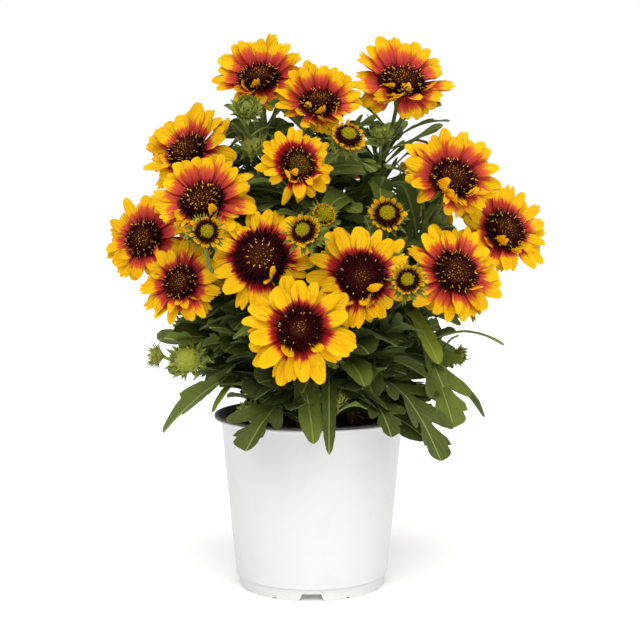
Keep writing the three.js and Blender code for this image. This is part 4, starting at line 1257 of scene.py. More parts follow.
@dataclass
class Bloom:
    """An open flower: rays in overlapping layers round a dome of disc florets."""

    USUAL = 40  # the radius of the bloom that the sizes below are for

    head: Head
    rays: int = 30
    layers: int = 3
    hub: float = 10.0
    half: float = 6.25
    thick: float = 0.42
    seat: float = 1.7
    disc: float = 14.6
    dome: float = 9.5

    @property
    def scale(self) -> float:
        """Its own size for a size of 1."""
        return self.head.radius / self.USUAL

    def petals(self) -> Iterator[Petal]:
        """The rays, each with its own length, lean, twist and tip, and then those over the disc.

        Yields:
            One ray after another.
        """
        head, scale, draw = self.head, self.scale, self.head.draw(Seed.PETALS)
        for _ in range(6):
            draw()
        for i in range(self.rays):
            layer = i * 2 % self.layers
            angle = (i + draw.near(0, 0.3)) * 2 * math.pi / self.rays
            nearness = min(1.0, max(0.0, -math.sin(angle) - 0.2) / 0.5)
            chance = draw()
            rise = head.cup + draw.near(0, 4) + 6.5 * (layer - 1) + head.lean * math.sin(angle)
            bend, twist, half = draw.near(-12, 26), draw.near(0, 26), self.half * scale * draw.near(0.98, 0.2)
            length = head.radius * draw.near(0.98, 0.09) * (1.05 - 0.03 * layer) - self.hub * scale
            length *= 1 + 0.014 * head.lean * min(0.0, math.sin(angle))
            if chance < 0.5 * head.curled * nearness:
                rise, bend, twist = rise + draw.near(26, 20), draw.near(70, 50), draw.near(0, 60)
                length, half = length * draw.near(0.76, 0.14), half * draw.near(0.8, 0.15)
            elif chance < 1.5 * head.curled * nearness + 0.08:
                rise, bend, twist = rise + draw.near(0, 16), bend - draw.near(36, 30), draw.near(0, 40)
                length = length * draw.near(0.9, 0.1)
            lobes = (1, 1, 2, 1, 1, 3)[int(draw() * 6)]
            yield Petal(
                angle, length, half, rise, bend, power=draw.near(1.5, 0.4), twist=twist,
                gutter=draw.near(0.17, 0.38), lobes=lobes, cut=draw.near(0.085, 0.04),
                seat=self.seat + 0.4 * layer, phase=draw() * ROUND, skew=draw.near(0, 0.09),
            )
        for _ in range(round(9 * head.curled)):
            length = (head.radius - self.hub * scale) * draw.near(0.7, 0.16)
            yield Petal(
                angle=math.radians(draw.near(-90, 62)), length=length,
                half=self.half * scale * draw.near(0.72, 0.2), rise=head.cup + draw.near(12, 30),
                bend=draw.near(0, 75), power=draw.near(1.5, 0.4), twist=draw.near(0, 70), gutter=0.25,
                lobes=1 if draw() < 0.6 else 2, cut=0.1, seat=self.seat + 1.2, phase=draw() * ROUND,
                skew=draw.near(0, 0.3),
            )

    def build_rays(self, palette: Palette) -> Piece:
        """Makes the rays and the thin hub that they grow from.

        Args:
            palette: The finishes.

        Returns:
            The rays as one piece.
        """
        head, axes, draw = self.head, self.head.axes(), self.head.draw(Seed.RAY_TONES)
        skin = Skin("along", "across", "tone", "reach", "salmon")
        hub = self.hub * self.scale + 1.2
        plate = lathe([(0.4, 1.0), (hub, 1.0), (hub, 2.2), (0.4, 2.2)], sides=20, axes=axes)
        skin.add(*plate, tone=0.5, reach=head.reach, salmon=head.salmon)
        for petal in self.petals():
            grid, along, across = petal.grid(axes, self.hub * self.scale)
            skin.add_blade(
                grid, self.thick, along=along, across=across, tone=draw(),
                reach=head.reach * draw.near(1.0, 0.16),
                salmon=min(1.0, max(0.0, head.salmon + draw.near(0, 0.12))),
            )
        return skin.build(f"rays_{head.name}_petals", [palette.ray, palette.ray_back], sharp=50)

    def build_disc(self, florets: "Florets", palette: Palette) -> Piece:
        """Makes the dome of disc florets.

        Args:
            florets: The florets' tree.
            palette: The finishes.

        Returns:
            The florets as one piece.
        """
        head, scale = self.head, self.scale
        axes = head.axes().leaning(0.9 * head.lean)
        axes = replace(axes, at=axes.at - axes.upper * 0.16 * head.lean)
        return florets.build(
            f"disc_{head.name}_florets", axes, self.disc * head.disc * scale, self.dome * scale, 2.4,
            Count=380, Width=0.95 * scale, Short=1.3 * scale, Long=6.0 * scale, Pollen=0.36 * scale,
            Fresh=head.fresh, Core=head.core, Ring=head.ring, Seed=int(head.name), Floret=palette.floret,
            Grain=palette.pollen, Pollen_Count=head.grains,
        )


class Florets:
    """Florets that stand on a dome in the spiral of a flower head, with grains of pollen."""

    SHARES = ("Fresh", "Core", "Ring")  # inputs that aren't sizes

    def __init__(self) -> None:
        """Builds the tree."""
        self.grower = g = Grower("florets")
        count, grains, seed = g.ask("Count", "Pollen Count", "Seed", kind="Int")
        radius, height, base, width = g.ask("Radius", "Height", "Base", "Width")
        short, long, pollen = g.ask("Short", "Long", "Pollen")
        fresh, core, reach = g.ask(*self.SHARES)
        material, grain = g.ask("Floret", "Grain", kind="Material")

        def spiral(
            number: Wire, low: Value, high: Value, turn: float, wobble: float
        ) -> tuple[Wire, Wire, Wire]:
            """Points in a spiral over the dome, where they face, and their share of the way out.

            Args:
                number: How many points.
                low: The share of the way out of the first.
                high: The share of the last.
                turn: The angle from one to the next.
                wobble: How far a share may be off.

            Returns:
                Points, directions and shares.
            """
            index = g.get("GeometryNodeInputIndex")
            zone = ((index + 0.5) / number) ** 0.53 * (high - low) + low
            zone = zone + g.chance(-wobble, wobble, 5)
            tilt, angle = zone * (math.pi / 2), index * turn + seed
            flat, rise = g.math("SINE", tilt), g.math("COSINE", tilt)
            x, y, out = g.math("COSINE", angle), g.math("SINE", angle), radius * flat
            line = g.get("GeometryNodeMeshLine", {"Count": number})
            points = g.moved(line, Position=g.vector(x * out, y * out, base + height * rise))
            return points, g.vector(x * flat, y * flat, rise), zone

        points, face, zone = spiral(count, 0.0, 1.06, GOLDEN, 0.012)
        tone = g.chance(0.0, 1.0, 3)
        points = g.keep(points, zone=zone, tone=tone, fresh=fresh, core=core, ring=reach)
        where = g.get("GeometryNodeInputPosition")
        cone = g.keep(g.spike(4, 2, 0.2, 0.7), height=g.get("ShaderNodeSeparateXYZ", {0: where}, 2))
        tall = (short + (long - short) * g.ease(zone, 0.3, 0.85)) * g.chance(0.65, 1.35, 8)
        spikes = g.spread(points, cone, g.sway(face, 0.62, 12), g.vector(width, width, tall), material)
        spots, out, _ = spiral(grains, reach * 0.51, reach, 2.9, 0.07)
        spots = g.moved(spots, Offset=g.times(out, long * g.chance(0.2, 0.75, 9)))
        ball = g.get("GeometryNodeMeshIcoSphere", {"Radius": 1.0, "Subdivisions": 1})
        size = pollen * g.chance(0.6, 1.2, 11)
        size = g.vector(size, size, size * g.chance(1.4, 4.6, 15))
        dust = g.spread(spots, ball, g.sway(out, 0.4, 14), size, grain)
        g.end(g.dress(g.keep(g.source, fresh=fresh, core=core), material), spikes, dust)

    def build(
        self, name: str, axes: Axes, radius: float, height: float, seat: float, **values: object
    ) -> Piece:
        """Makes the florets of one head over a solid core.

        Args:
            name: The piece's name.
            axes: The head's axes.
            radius: The dome's radius at its widest.
            height: The dome's height.
            seat: The height of its foot over the head's back.
            values: The tree's other inputs; sizes are in millimetres.

        Returns:
            The piece.
        """
        base, above = seat + 0.4 * height, 0.6 * height
        angles = np.linspace(math.pi / 2, 0.02, 9)
        profile = [(0.2, seat), (0.72 * radius, seat)]
        profile += [(0.98 * radius * math.sin(a), base + 0.98 * above * math.cos(a)) for a in angles]
        points, *faces = lathe(profile, sides=20, axes=POT_AXES)
        skin = Skin("zone", "tone", "height")
        flat = np.linalg.norm(points[:, :2], axis=1) / radius
        skin.add(points, *faces, zone=np.arcsin(np.clip(flat, 0, 1)) * 2 / math.pi, tone=0.3, height=0.2)
        core = skin.build("core")
        for key, value in values.items():
            if isinstance(value, float) and key not in self.SHARES:
                values[key] = value * MM
        mesh = self.grower.grow(core.data, Radius=radius * MM, Height=above * MM, Base=base * MM, **values)
        bpy.data.objects.remove(core)
        mesh.transform(axes.matrix())
        shade(mesh, sharp=70)
        return place(name, mesh)


@dataclass
class Button:
    """A half-open head: a dome of closed florets in a ring of short young rays."""

    head: Head
    stubs: int = 17
    thick: float = 0.9

    def build(self, florets: Florets, palette: Palette) -> tuple[Piece, Piece]:
        """Makes the dome, and its dark ring with the young rays.

        Args:
            florets: The florets' tree.
            palette: The finishes.

        Returns:
            The dome, and the ring with the rays.
        """
        head, axes, draw = self.head, self.head.axes(), self.head.draw(Seed.STUBS)
        r = head.radius * head.disc / 0.92
        dome = florets.build(
            f"button_{head.name}_florets", axes, 0.54 * r, 0.6 * r, 1.6,
            Count=210, Width=0.7, Short=0.7, Long=2.2, Pollen=0.2, Fresh=head.fresh, Core=0.5, Ring=0.86,
            Seed=int(head.name), Floret=palette.button, Grain=palette.button, Pollen_Count=6,
        )
        skin = Skin("along", "across", "tone", "reach", "salmon")
        ring = [(0.2, 0.3), (0.56 * r, 0.5), (0.6 * r, 2.4), (0.4 * r, 3.2), (0.2, 3.2)]
        skin.add(*lathe(ring, sides=18, axes=axes), finish=1, tone=0.3, reach=0.3)
        for i in range(self.stubs):
            length = r * draw.near(0.45, 0.1) * (1 - 0.35 * head.fresh)
            petal = Petal(
                angle=(i + draw.near(0, 0.18)) * 2 * math.pi / self.stubs, length=length,
                half=0.125 * r * draw.near(1, 0.15), rise=draw.near(36, 12), bend=draw.near(16, 34),
                power=1.2, twist=draw.near(0, 16), gutter=0.5, lobes=1, cut=0.08, seat=3.0, phase=draw(),
            )
            grid, along, across = petal.grid(axes, 0.58 * r, rows=7, columns=7)
            skin.add_blade(grid, self.thick, along=along, across=across, tone=0.4, reach=0.03)
        return dome, skin.build(f"button_{head.name}_rays", [palette.ray, palette.ray_back], sharp=50)


# ------------------------------------------------------------------------------- stems and leaves
class Outline(Enum):
    """Leaf outlines: [share of length, share of half width, sweep towards the tip] by station."""

    LANCE = (
        (0, 0.22, 0), (0.14, 0.22, 0), (0.4, 0.76, 0), (0.62, 1.0, 0), (0.8, 0.94, 0), (0.92, 0.74, 0),
        (0.98, 0.42, 0), (1, 0.06, 0),
    )
    TOOTHED = (
        (0, 0.2, 0), (0.14, 0.22, 0), (0.3, 0.5, 0.01), (0.41, 0.82, 0.05), (0.46, 0.62, 0.01),
        (0.58, 0.8, 0), (0.69, 1.08, 0.06), (0.74, 0.84, 0.01), (0.86, 0.82, 0), (0.94, 0.68, 0),
        (0.985, 0.36, 0), (1, 0.06, 0),
    )
    LOBED = (
        (0, 0.1, 0), (0.25, 0.13, 0), (0.42, 0.2, 0), (0.478, 0.56, 0.07), (0.496, 0.86, 0.12),
        (0.514, 0.98, 0.15), (0.536, 1.0, 0.162), (0.556, 0.88, 0.16), (0.574, 0.58, 0.1),
        (0.592, 0.28, 0), (0.65, 0.28, 0), (0.682, 0.6, 0.05), (0.702, 0.88, 0.11), (0.722, 1.0, 0.14),
        (0.746, 1.02, 0.156), (0.766, 0.88, 0.15), (0.784, 0.58, 0.09), (0.804, 0.34, 0),
        (0.85, 0.38, 0), (0.885, 0.62, 0.02), (0.91, 0.66, 0.04), (0.93, 0.5, 0.01),
        (0.955, 0.52, 0.02), (0.985, 0.32, 0.01), (1, 0.06, 0),
    )


LANCE, TOOTHED, LOBED = Outline
ROWS = {LANCE: 8, TOOTHED: 12, LOBED: 36}  # evenly spaced rows of points along a leaf


@dataclass(frozen=True)
class Rule:
    """How the leaves of one kind of stem are set out."""

    count: int
    pair: int
    first: float
    last: float
    long: float
    short: float
    half: float
    climb: Pair


RULES = {
    "basal": Rule(8, 4, 0.05, 0.15, 112, 92, 0.125, (22, 72)),
    "main": Rule(10, 2, 0.24, 0.84, 88, 56, 0.14, (12, 66)),
    "bloom": Rule(5, 2, 0.25, 0.75, 68, 50, 0.14, (10, 60)),
    "button": Rule(3, 1, 0.3, 0.8, 50, 36, 0.14, (5, 50)),
    "bud": Rule(2, 1, 0.4, 0.8, 36, 26, 0.14, (5, 45)),
}
TURNS = (0, 25, -25, 50, -50, 80, -80, 115, -115, 150, -150, 180)
TILTS = (0, 18, -18)
SHRINKS = (1, 0.75)
NUDGES = (
    (0, 0, 0, 0), (0.03, 0, -3, 2), (-0.03, 0, -3, -2), (0.06, 3, -5, 3), (0.03, -3, -5, 3), (0, 5, -6, 0),
    (0, -5, -6, 0), (0.09, 0, -8, 4), (0.12, 0, -10, 6), (0.12, 6, -10, 6), (0.12, -6, -10, 6),
)


@dataclass(frozen=True)
class Leaf:
    """One leaf: how far up its stem it grows, its tip, half width, arch, roll and outline."""

    up: float
    tip: Point | Array
    half: float
    arch: float
    roll: float
    outline: Outline
    full: float = 1.15
    tone: float | None = None
    folded: bool = False

    ACROSS = (-1, -0.72, -0.4, -0.07, 0, 0.07, 0.4, 0.72, 1)

    def rib(self, root: Array) -> Bezier:
        """The midrib, from where it leaves the stem."""
        return Bezier((root, (root + self.tip) / 2 + UP * 2 * self.arch, np.array(self.tip, float)))

    def grid(self, root: Array, draw: Draw) -> tuple[Array, ...]:
        """The upper face of the leaf.

        Args:
            root: Where its midrib leaves the stem.
            draw: Where its small chances come from.

        Returns:
            Its points, and for each of them its share of the length and of the half width, and how
            far it is from the midrib.
        """
        rib, run = self.rib(root), np.array(self.tip, float) - root
        flat = unit(run * [1, 1, 0])
        level = np.array([-flat[1], flat[0], 0])
        share, breadth, sweep = np.array(self.outline.value, float).T
        v = np.unique(np.round(np.concatenate([np.linspace(0, 1, ROWS[self.outline]), share]), 3))
        width = np.maximum(smooth_through(share, breadth, v), 0.03) * self.half * self.full
        width = width * (1 + 0.05 * np.sin(23 * v + self.half) + 0.04 * np.sin(41 * v + 3 * self.half))
        forward = smooth_through(share, sweep, v) * np.linalg.norm(run)
        fold = 0.24 if self.folded else draw.near(0.2, 0.14)
        curl, phase, wave = draw.near(0.0, 0.22), draw() * ROUND, draw.near(0.16, 0.08)
        along = rib.way(v)
        across = np.array([turn_about(level, a, self.roll) for a in along])
        face = unit(np.cross(along, across))
        v, width, forward, u = v[:, None], width[:, None], forward[:, None], np.array(self.ACROSS)[None, :]
        wide = np.abs(u)
        rise = fold * wide + curl * wide**2 + wave * wide**2 * np.sin(9 * v + phase + np.sign(u))
        rise = rise * width - 0.45 * np.exp(-((u / 0.05) ** 2)) * np.minimum(1, width / 3)
        points = rib.at(v[:, 0])[:, None] + across[:, None] * (u * width)[..., None]
        points = points + along[:, None] * (forward * wide**1.5)[..., None] + face[:, None] * rise[..., None]
        return points, *(np.broadcast_to(part, rise.shape) for part in (v, u, wide * width))


front = partial(Leaf, folded=True)
NAMED_LEAVES: tuple[tuple[str, Leaf], ...] = (
    ("32", front(0.35, (-117, -85, 143), 8, 8, 50, TOOTHED, 1.9, 0.8)),
    ("32", front(0.2, (-78, -80, 158), 6, 10, 30, LANCE, 1.4, 0.8)),
    ("32", front(0.65, (-116, -78, 217), 7, 6, 30, TOOTHED)),
    ("32", front(0.55, (-111, -85, 180), 5.5, 4, 0, LANCE)),
    ("11", front(0.12, (-50, -112, 133), 15, 24, 0, LOBED, 1.8, 0.2)),
    ("12", front(0.12, (-1, -115, 137), 7.5, 26, 0, TOOTHED, 1.5)),
    ("11", front(0.06, (8, -112, 126), 5, 34, 0, LANCE)),
    ("11", front(0.2, (32, -112, 145), 8, 22, 0, LANCE)),
    ("08", front(0.04, (62, -108, 143), 8, 22, 0, LOBED, 1.9)),
    ("08", front(0.12, (101, -100, 123), 19, 30, -8, LOBED, 1.5, 0.15)),
    ("20", front(0.12, (114, -60, 140), 14, 24, 0, LOBED, 1.6, 0.5)),
    ("35", front(0.6, (143, -30, 146), 7.5, 8, -24, LANCE)),
    ("35", front(0.5, (156, -50, 208), 4, 16, 0, LANCE)),
    ("11", front(0.34, (41, -112, 183), 10, 12, 0, LANCE)),
    ("10", front(0.25, (100, -85, 197), 8, 8, 0, TOOTHED)),
    ("10", front(0.15, (104, -80, 178), 9, 12, 0, LOBED)),
    ("03", front(0.42, (59, -40, 344), 11, 4, -40, LANCE)),
    ("01", front(0.7, (-65, -25, 388), 7, 4, 20, LANCE)),
    ("01", front(0.78, (-22, -10, 391), 6.5, 4, -20, LANCE)),
    ("03", front(0.72, (110, 6, 388), 6, 4, 20, LANCE)),
)


@dataclass
class Stem:
    """A flower head's stem: its curve and its leaves."""

    head: Head
    curve: Bezier
    is_first: bool
    leaves: list[Leaf] = field(default_factory=list)

    def outward(self) -> float:
        """The way from the pot's axis to the foot of the stem's shoot, in degrees."""
        x, y = SHOOTS[self.head.shoot]
        return math.degrees(math.atan2(y, x))

    def forms(self, rule: Rule, i: int, azimuth: float, draws: Sequence[float]) -> Iterator[Leaf]:
        """The forms that one leaf of a rule may have, in the order in which they are tried.

        Args:
            rule: The rule.
            i: The leaf's number.
            azimuth: The way it points, in degrees.
            draws: Its six chances.

        Yields:
            The forms.
        """
        share = i / max(rule.count - 1, 1)
        joint = (i // rule.pair) / max(math.ceil(rule.count / rule.pair) - 1, 1)
        up = rule.first + (rule.last - rule.first) * joint
        root = self.curve.at(up)
        full = (rule.long + (rule.short - rule.long) * share) * (0.85 + 0.3 * draws[1])
        climb = rule.climb[0] + (rule.climb[1] - rule.climb[0]) * draws[2]
        outline = (TOOTHED, LANCE, LOBED)[int(draws[5] * 2.6)]
        for shrink in SHRINKS:
            for tilt in TILTS:
                for turn in TURNS:
                    length = full * shrink
                    tip = root + way_of(math.radians(azimuth + turn), math.radians(climb + tilt)) * length
                    half = length * rule.half * (0.85 + 0.3 * draws[3])
                    yield Leaf(up, tip, half, length * 0.17, 70 * (draws[4] - 0.5), outline)

    def ruled(self, rule: Rule, is_basal: bool) -> Iterator[list[Leaf]]:
        """The forms of each leaf of a rule.

        Args:
            rule: The rule.
            is_basal: True for the leaves that fan out from the soil.

        Yields:
            The forms of one leaf after another.
        """
        draw = self.head.draw(Seed.RULED_LEAVES + rule.count)
        outward, start = self.outward(), None
        for i in range(rule.count):
            draws = [draw() for _ in range(6)]
            start = draws[0] * 360 if start is None else start
            fan = outward + 230 * ((i * 2.5) % rule.count - rule.count / 2 + draws[0]) / rule.count
            yield list(self.forms(rule, i, fan if is_basal else start + i * 137.5, draws))


def lay_stems() -> dict[str, Stem]:
    """The stem of every head. A shoot's first head has the stem that stands in the soil.

    Returns:
        The stems, by their heads' names.
    """
    stems: dict[str, Stem] = {}
    firsts: dict[str, Stem] = {}
    for head in HEADS:
        axes, first = head.axes(), firsts.get(head.shoot)
        end = axes.at - axes.out * DROP[head.kind]
        start = first.curve.at(head.start) if first else np.array([*SHOOTS[head.shoot], FOOT])
        along = first.curve.way(head.start) if first else UP
        span = np.linalg.norm(end - start)
        neck, drop = head.neck or (span * 0.15, span * 0.15)
        middle = start + along * span * (0.3 if first else 0.42)
        curve = Bezier((start, middle, end - axes.out * neck - UP * drop, end))
        stems[head.name] = Stem(head, curve, first is None)
        firsts.setdefault(head.shoot, stems[head.name])
    return stems


class Foliage:
    """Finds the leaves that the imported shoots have, and adds small ones between them."""

    TIP_MATCH = 0.00005  # metres between a leaf's tip and the corner that shows it
    POT_RADIUS, POT_TOP = 86, 150  # the pot's lip, with some room
    REACH, LOWEST, HIGHEST = 132, 118, 392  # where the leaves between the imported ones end
    GAP = ((-104, -80, 0), (-62, 0, 168))  # two corners of a box that is left open at the lower left
    TRIES = 6

    def __init__(self, stems: dict[str, Stem]) -> None:
        """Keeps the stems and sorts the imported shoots' corners.

        Args:
            stems: The stems, by their heads' names.
        """
        self.stems = stems
        self.corners: dict[str, KDTree] = {}
        for shoot in SHOOTS:
            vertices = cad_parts[f"shoot_{shoot}"].data.vertices
            tree = self.corners[shoot] = KDTree(len(vertices))
            for vertex in vertices:
                tree.insert(vertex.co, vertex.index)
            tree.balance()
        self.heads = [(head, head.axes()) for head in HEADS]

    def grown(self, stem: Stem, forms: Sequence[Leaf]) -> None:
        """Gives a stem the first of some forms whose tip is a corner of its packed shoot.

        Args:
            stem: The stem.
            forms: The forms, in the order in which they are tried.
        """
        tree = self.corners[stem.head.shoot]
        for leaf in forms:
            if tree.find(np.array(leaf.tip, float) * MM)[2] < self.TIP_MATCH:
                if not self.is_over_bloom(leaf.rib(stem.curve.at(leaf.up)).at(np.linspace(0.2, 1, 9))):
                    stem.leaves.append(leaf)
                return

    def is_over_bloom(self, points: Array) -> bool:
        """True where points lie before the face of an open head.

        Args:
            points: The points.

        Returns:
            Whether any does.
        """
        for head, axes in self.heads:
            radius, height = axes.around(points)
            before = (radius < 0.85 * head.radius) & (height > 2) & (height < 50)
            if head.kind is Kind.BLOOM and np.any(before):
                return True
        return False

    def find(self) -> int:
        """Finds every packed leaf and gives their number.

        Returns:
            How many there are.
        """
        for name, leaf in NAMED_LEAVES:
            tip = np.array(leaf.tip, float)
            nudged = [replace(leaf, up=leaf.up + up, tip=tip + shift) for up, *shift in NUDGES]
            self.grown(self.stems[name], nudged)
        for stem in self.stems.values():
            if stem.is_first:
                for forms in stem.ruled(RULES["basal"], True):
                    self.grown(stem, forms)
            for forms in stem.ruled(RULES["main" if stem.is_first else stem.head.kind.value], False):
                self.grown(stem, forms)
        return sum(len(stem.leaves) for stem in self.stems.values())

    def is_free(self, points: Array) -> bool:
        """True where points keep clear of flower heads, of the pot and of the plant's outline.

        Args:
            points: The points.

        Returns:
            Whether all do.
        """
        flat, z = np.linalg.norm(points[:, :2], axis=1), points[:, 2]
        on_pot = (flat < self.POT_RADIUS) & (z < self.POT_TOP)
        in_gap = np.all((points > self.GAP[0]) & (points < self.GAP[1]), axis=1)
        if np.any(on_pot | in_gap | (flat > self.REACH) | (z > self.HIGHEST) | (z < self.LOWEST)):
            return False
        for head, axes in self.heads:
            radius, height = axes.around(points)
            if np.any((radius < head.radius + 5) & (height > -10) & (height < 60)):
                return False
        return True

    def thrive(self, stem: Stem, draw: Draw, up: float, sizes: Pair, heading: Pair) -> int:
        """Tries to grow one more leaf, clear of the heads.

        Args:
            stem: Its stem.
            draw: Where its chances come from.
            up: How far up the stem.
            sizes: Its length and how much that may differ.
            heading: The way it points and how much that may differ, in degrees.

        Returns:
            1 if it grew, or 0.
        """
        root = stem.curve.at(up)
        for _ in range(self.TRIES):
            way = way_of(math.radians(draw.near(*heading)), math.radians(draw.near(26, 36)))
            length = draw.near(*sizes)
            # Painted shade: these leaves, deep in the plant, get a darker tone the lower they grow on the
            # stem.
            leaf = Leaf(
                up, root + way * length, length * draw.near(0.14, 0.035), length * draw.near(0.14, 0.08),
                draw.near(0, 40), (LANCE, TOOTHED, LOBED)[int(draw() * 2.7)], tone=0.04 + 0.5 * up,
            )
            if self.is_free(leaf.rib(root).at(np.linspace(0.3, 1, 6))):
                stem.leaves.append(leaf)
                return 1
        return 0

    def fill(self, spacing: float = 11.0, basal: int = 26, crown: float = 325, dense: float = 1.7) -> int:
        """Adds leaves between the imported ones, deep in the plant.

        Args:
            spacing: How far apart they are on a stem.
            basal: How many more a shoot's first stem has near the soil.
            crown: The height from which a head's stem has more of them.
            dense: How many times as many it has.

        Returns:
            Their number.
        """
        added = 0
        for stem in self.stems.values():
            draw = stem.head.draw(Seed.MORE_LEAVES)
            steps = int(stem.curve.length() / spacing * (dense if stem.head.at[2] > crown else 1.0))
            for k in range(steps):
                up = 0.05 + 0.78 * (k + draw()) / max(steps, 1)
                added += self.thrive(stem, draw, up, (66 - 22 * up, 16), (0, 180))
            for _ in range(basal if stem.is_first else 0):
                added += self.thrive(stem, draw, draw.near(0.17, 0.14), (86, 24), (stem.outward(), 110))
        return added


@dataclass(frozen=True)
class Whorl:
    """One turn of bracts round the back of a head; sizes are shares of the head's radius."""

    count: int
    root: float
    height: float
    length: float
    half: float
    slope: float
    bend: float


WHORLS: dict[Kind, tuple[Whorl, ...]] = {
    Kind.BLOOM: (Whorl(10, 0.2, -0.06, 0.4, 0.062, -8, -46), Whorl(9, 0.19, -0.1, 0.34, 0.056, -30, -40)),
    Kind.BUTTON: (
        Whorl(13, 0.6, 0.0, 0.56, 0.1, 44, -50),
        Whorl(13, 0.58, -0.08, 0.78, 0.12, 22, -34),
        Whorl(11, 0.5, -0.18, 0.84, 0.13, -6, -40),
    ),
    Kind.BUD: (
        Whorl(12, 0.46, 0.4, 0.7, 0.14, 78, 80),
        Whorl(12, 0.6, 0.16, 0.86, 0.23, 66, 44),
        Whorl(12, 0.66, 0.0, 0.9, 0.26, 50, 16),
        Whorl(10, 0.6, -0.14, 0.8, 0.23, 22, -12),
    ),
}


class Stalks:
    """Stems as round tubes that follow their curves."""

    def __init__(self) -> None:
        """Builds the tree."""
        self.grower = g = Grower("stalks")
        [sides], [material] = g.ask("Sides", kind="Int"), g.ask("Finish", kind="Material")
        size, line = g.named("size"), g.get("GeometryNodeMeshToCurve", {0: g.source})
        line = g.get("GeometryNodeSetCurveRadius", {"Curve": line, "Radius": size})
        section = g.get("GeometryNodeCurvePrimitiveCircle", {"Resolution": sides, "Radius": 1.0})
        tube = g.add("GeometryNodeCurveToMesh", {"Curve": line, "Profile Curve": section, "Fill Caps": True})
        if "Scale" in tube.inputs:
            g.put(tube.inputs["Scale"], size)
        g.end(g.dress(Wire(g, tube.outputs[0]), material))

    def build(self, name: str, stems: Sequence[Stem], palette: Palette) -> Piece:
        """Makes the stems of one shoot.

        Args:
            name: The piece's name.
            stems: The shoot's stems.
            palette: The finishes.

        Returns:
            The stems as one piece.
        """
        lines = bpy.data.meshes.new("lines")
        points, sizes, edges, count = [], [], [], 0
        for stem in stems:
            length = stem.curve.length()
            share = np.linspace(0, 1, max(8, int(length / 4)))
            centre = stem.curve.at(share)
            size = THICK[stem.head.kind] * (1.16 - 0.2 * share)
            for leaf in stem.leaves:
                size = size * (1 + 0.16 * np.exp(-(((share - leaf.up) * length / 2.2) ** 2)))
            size = np.minimum(size, THICK[stem.head.kind] * 1.6)
            if stem.is_first:
                centre = np.concatenate([[centre[0] - UP * 9], centre])
                size = np.concatenate([[size[0] * 1.25], size])
            points.append(centre)
            sizes.append(size)
            edges += [(count + k, count + k + 1) for k in range(len(centre) - 1)]
            count += len(centre)
        lines.from_pydata((np.concatenate(points) * MM).tolist(), edges, [])
        layer = lines.attributes.new("size", "FLOAT", "POINT")
        layer.data.foreach_set("value", (np.concatenate(sizes) * MM).astype(np.float32))
        mesh = self.grower.grow(lines, Sides=9, Finish=palette.stem)
        shade(mesh, sharp=60)
        return place(name, mesh)


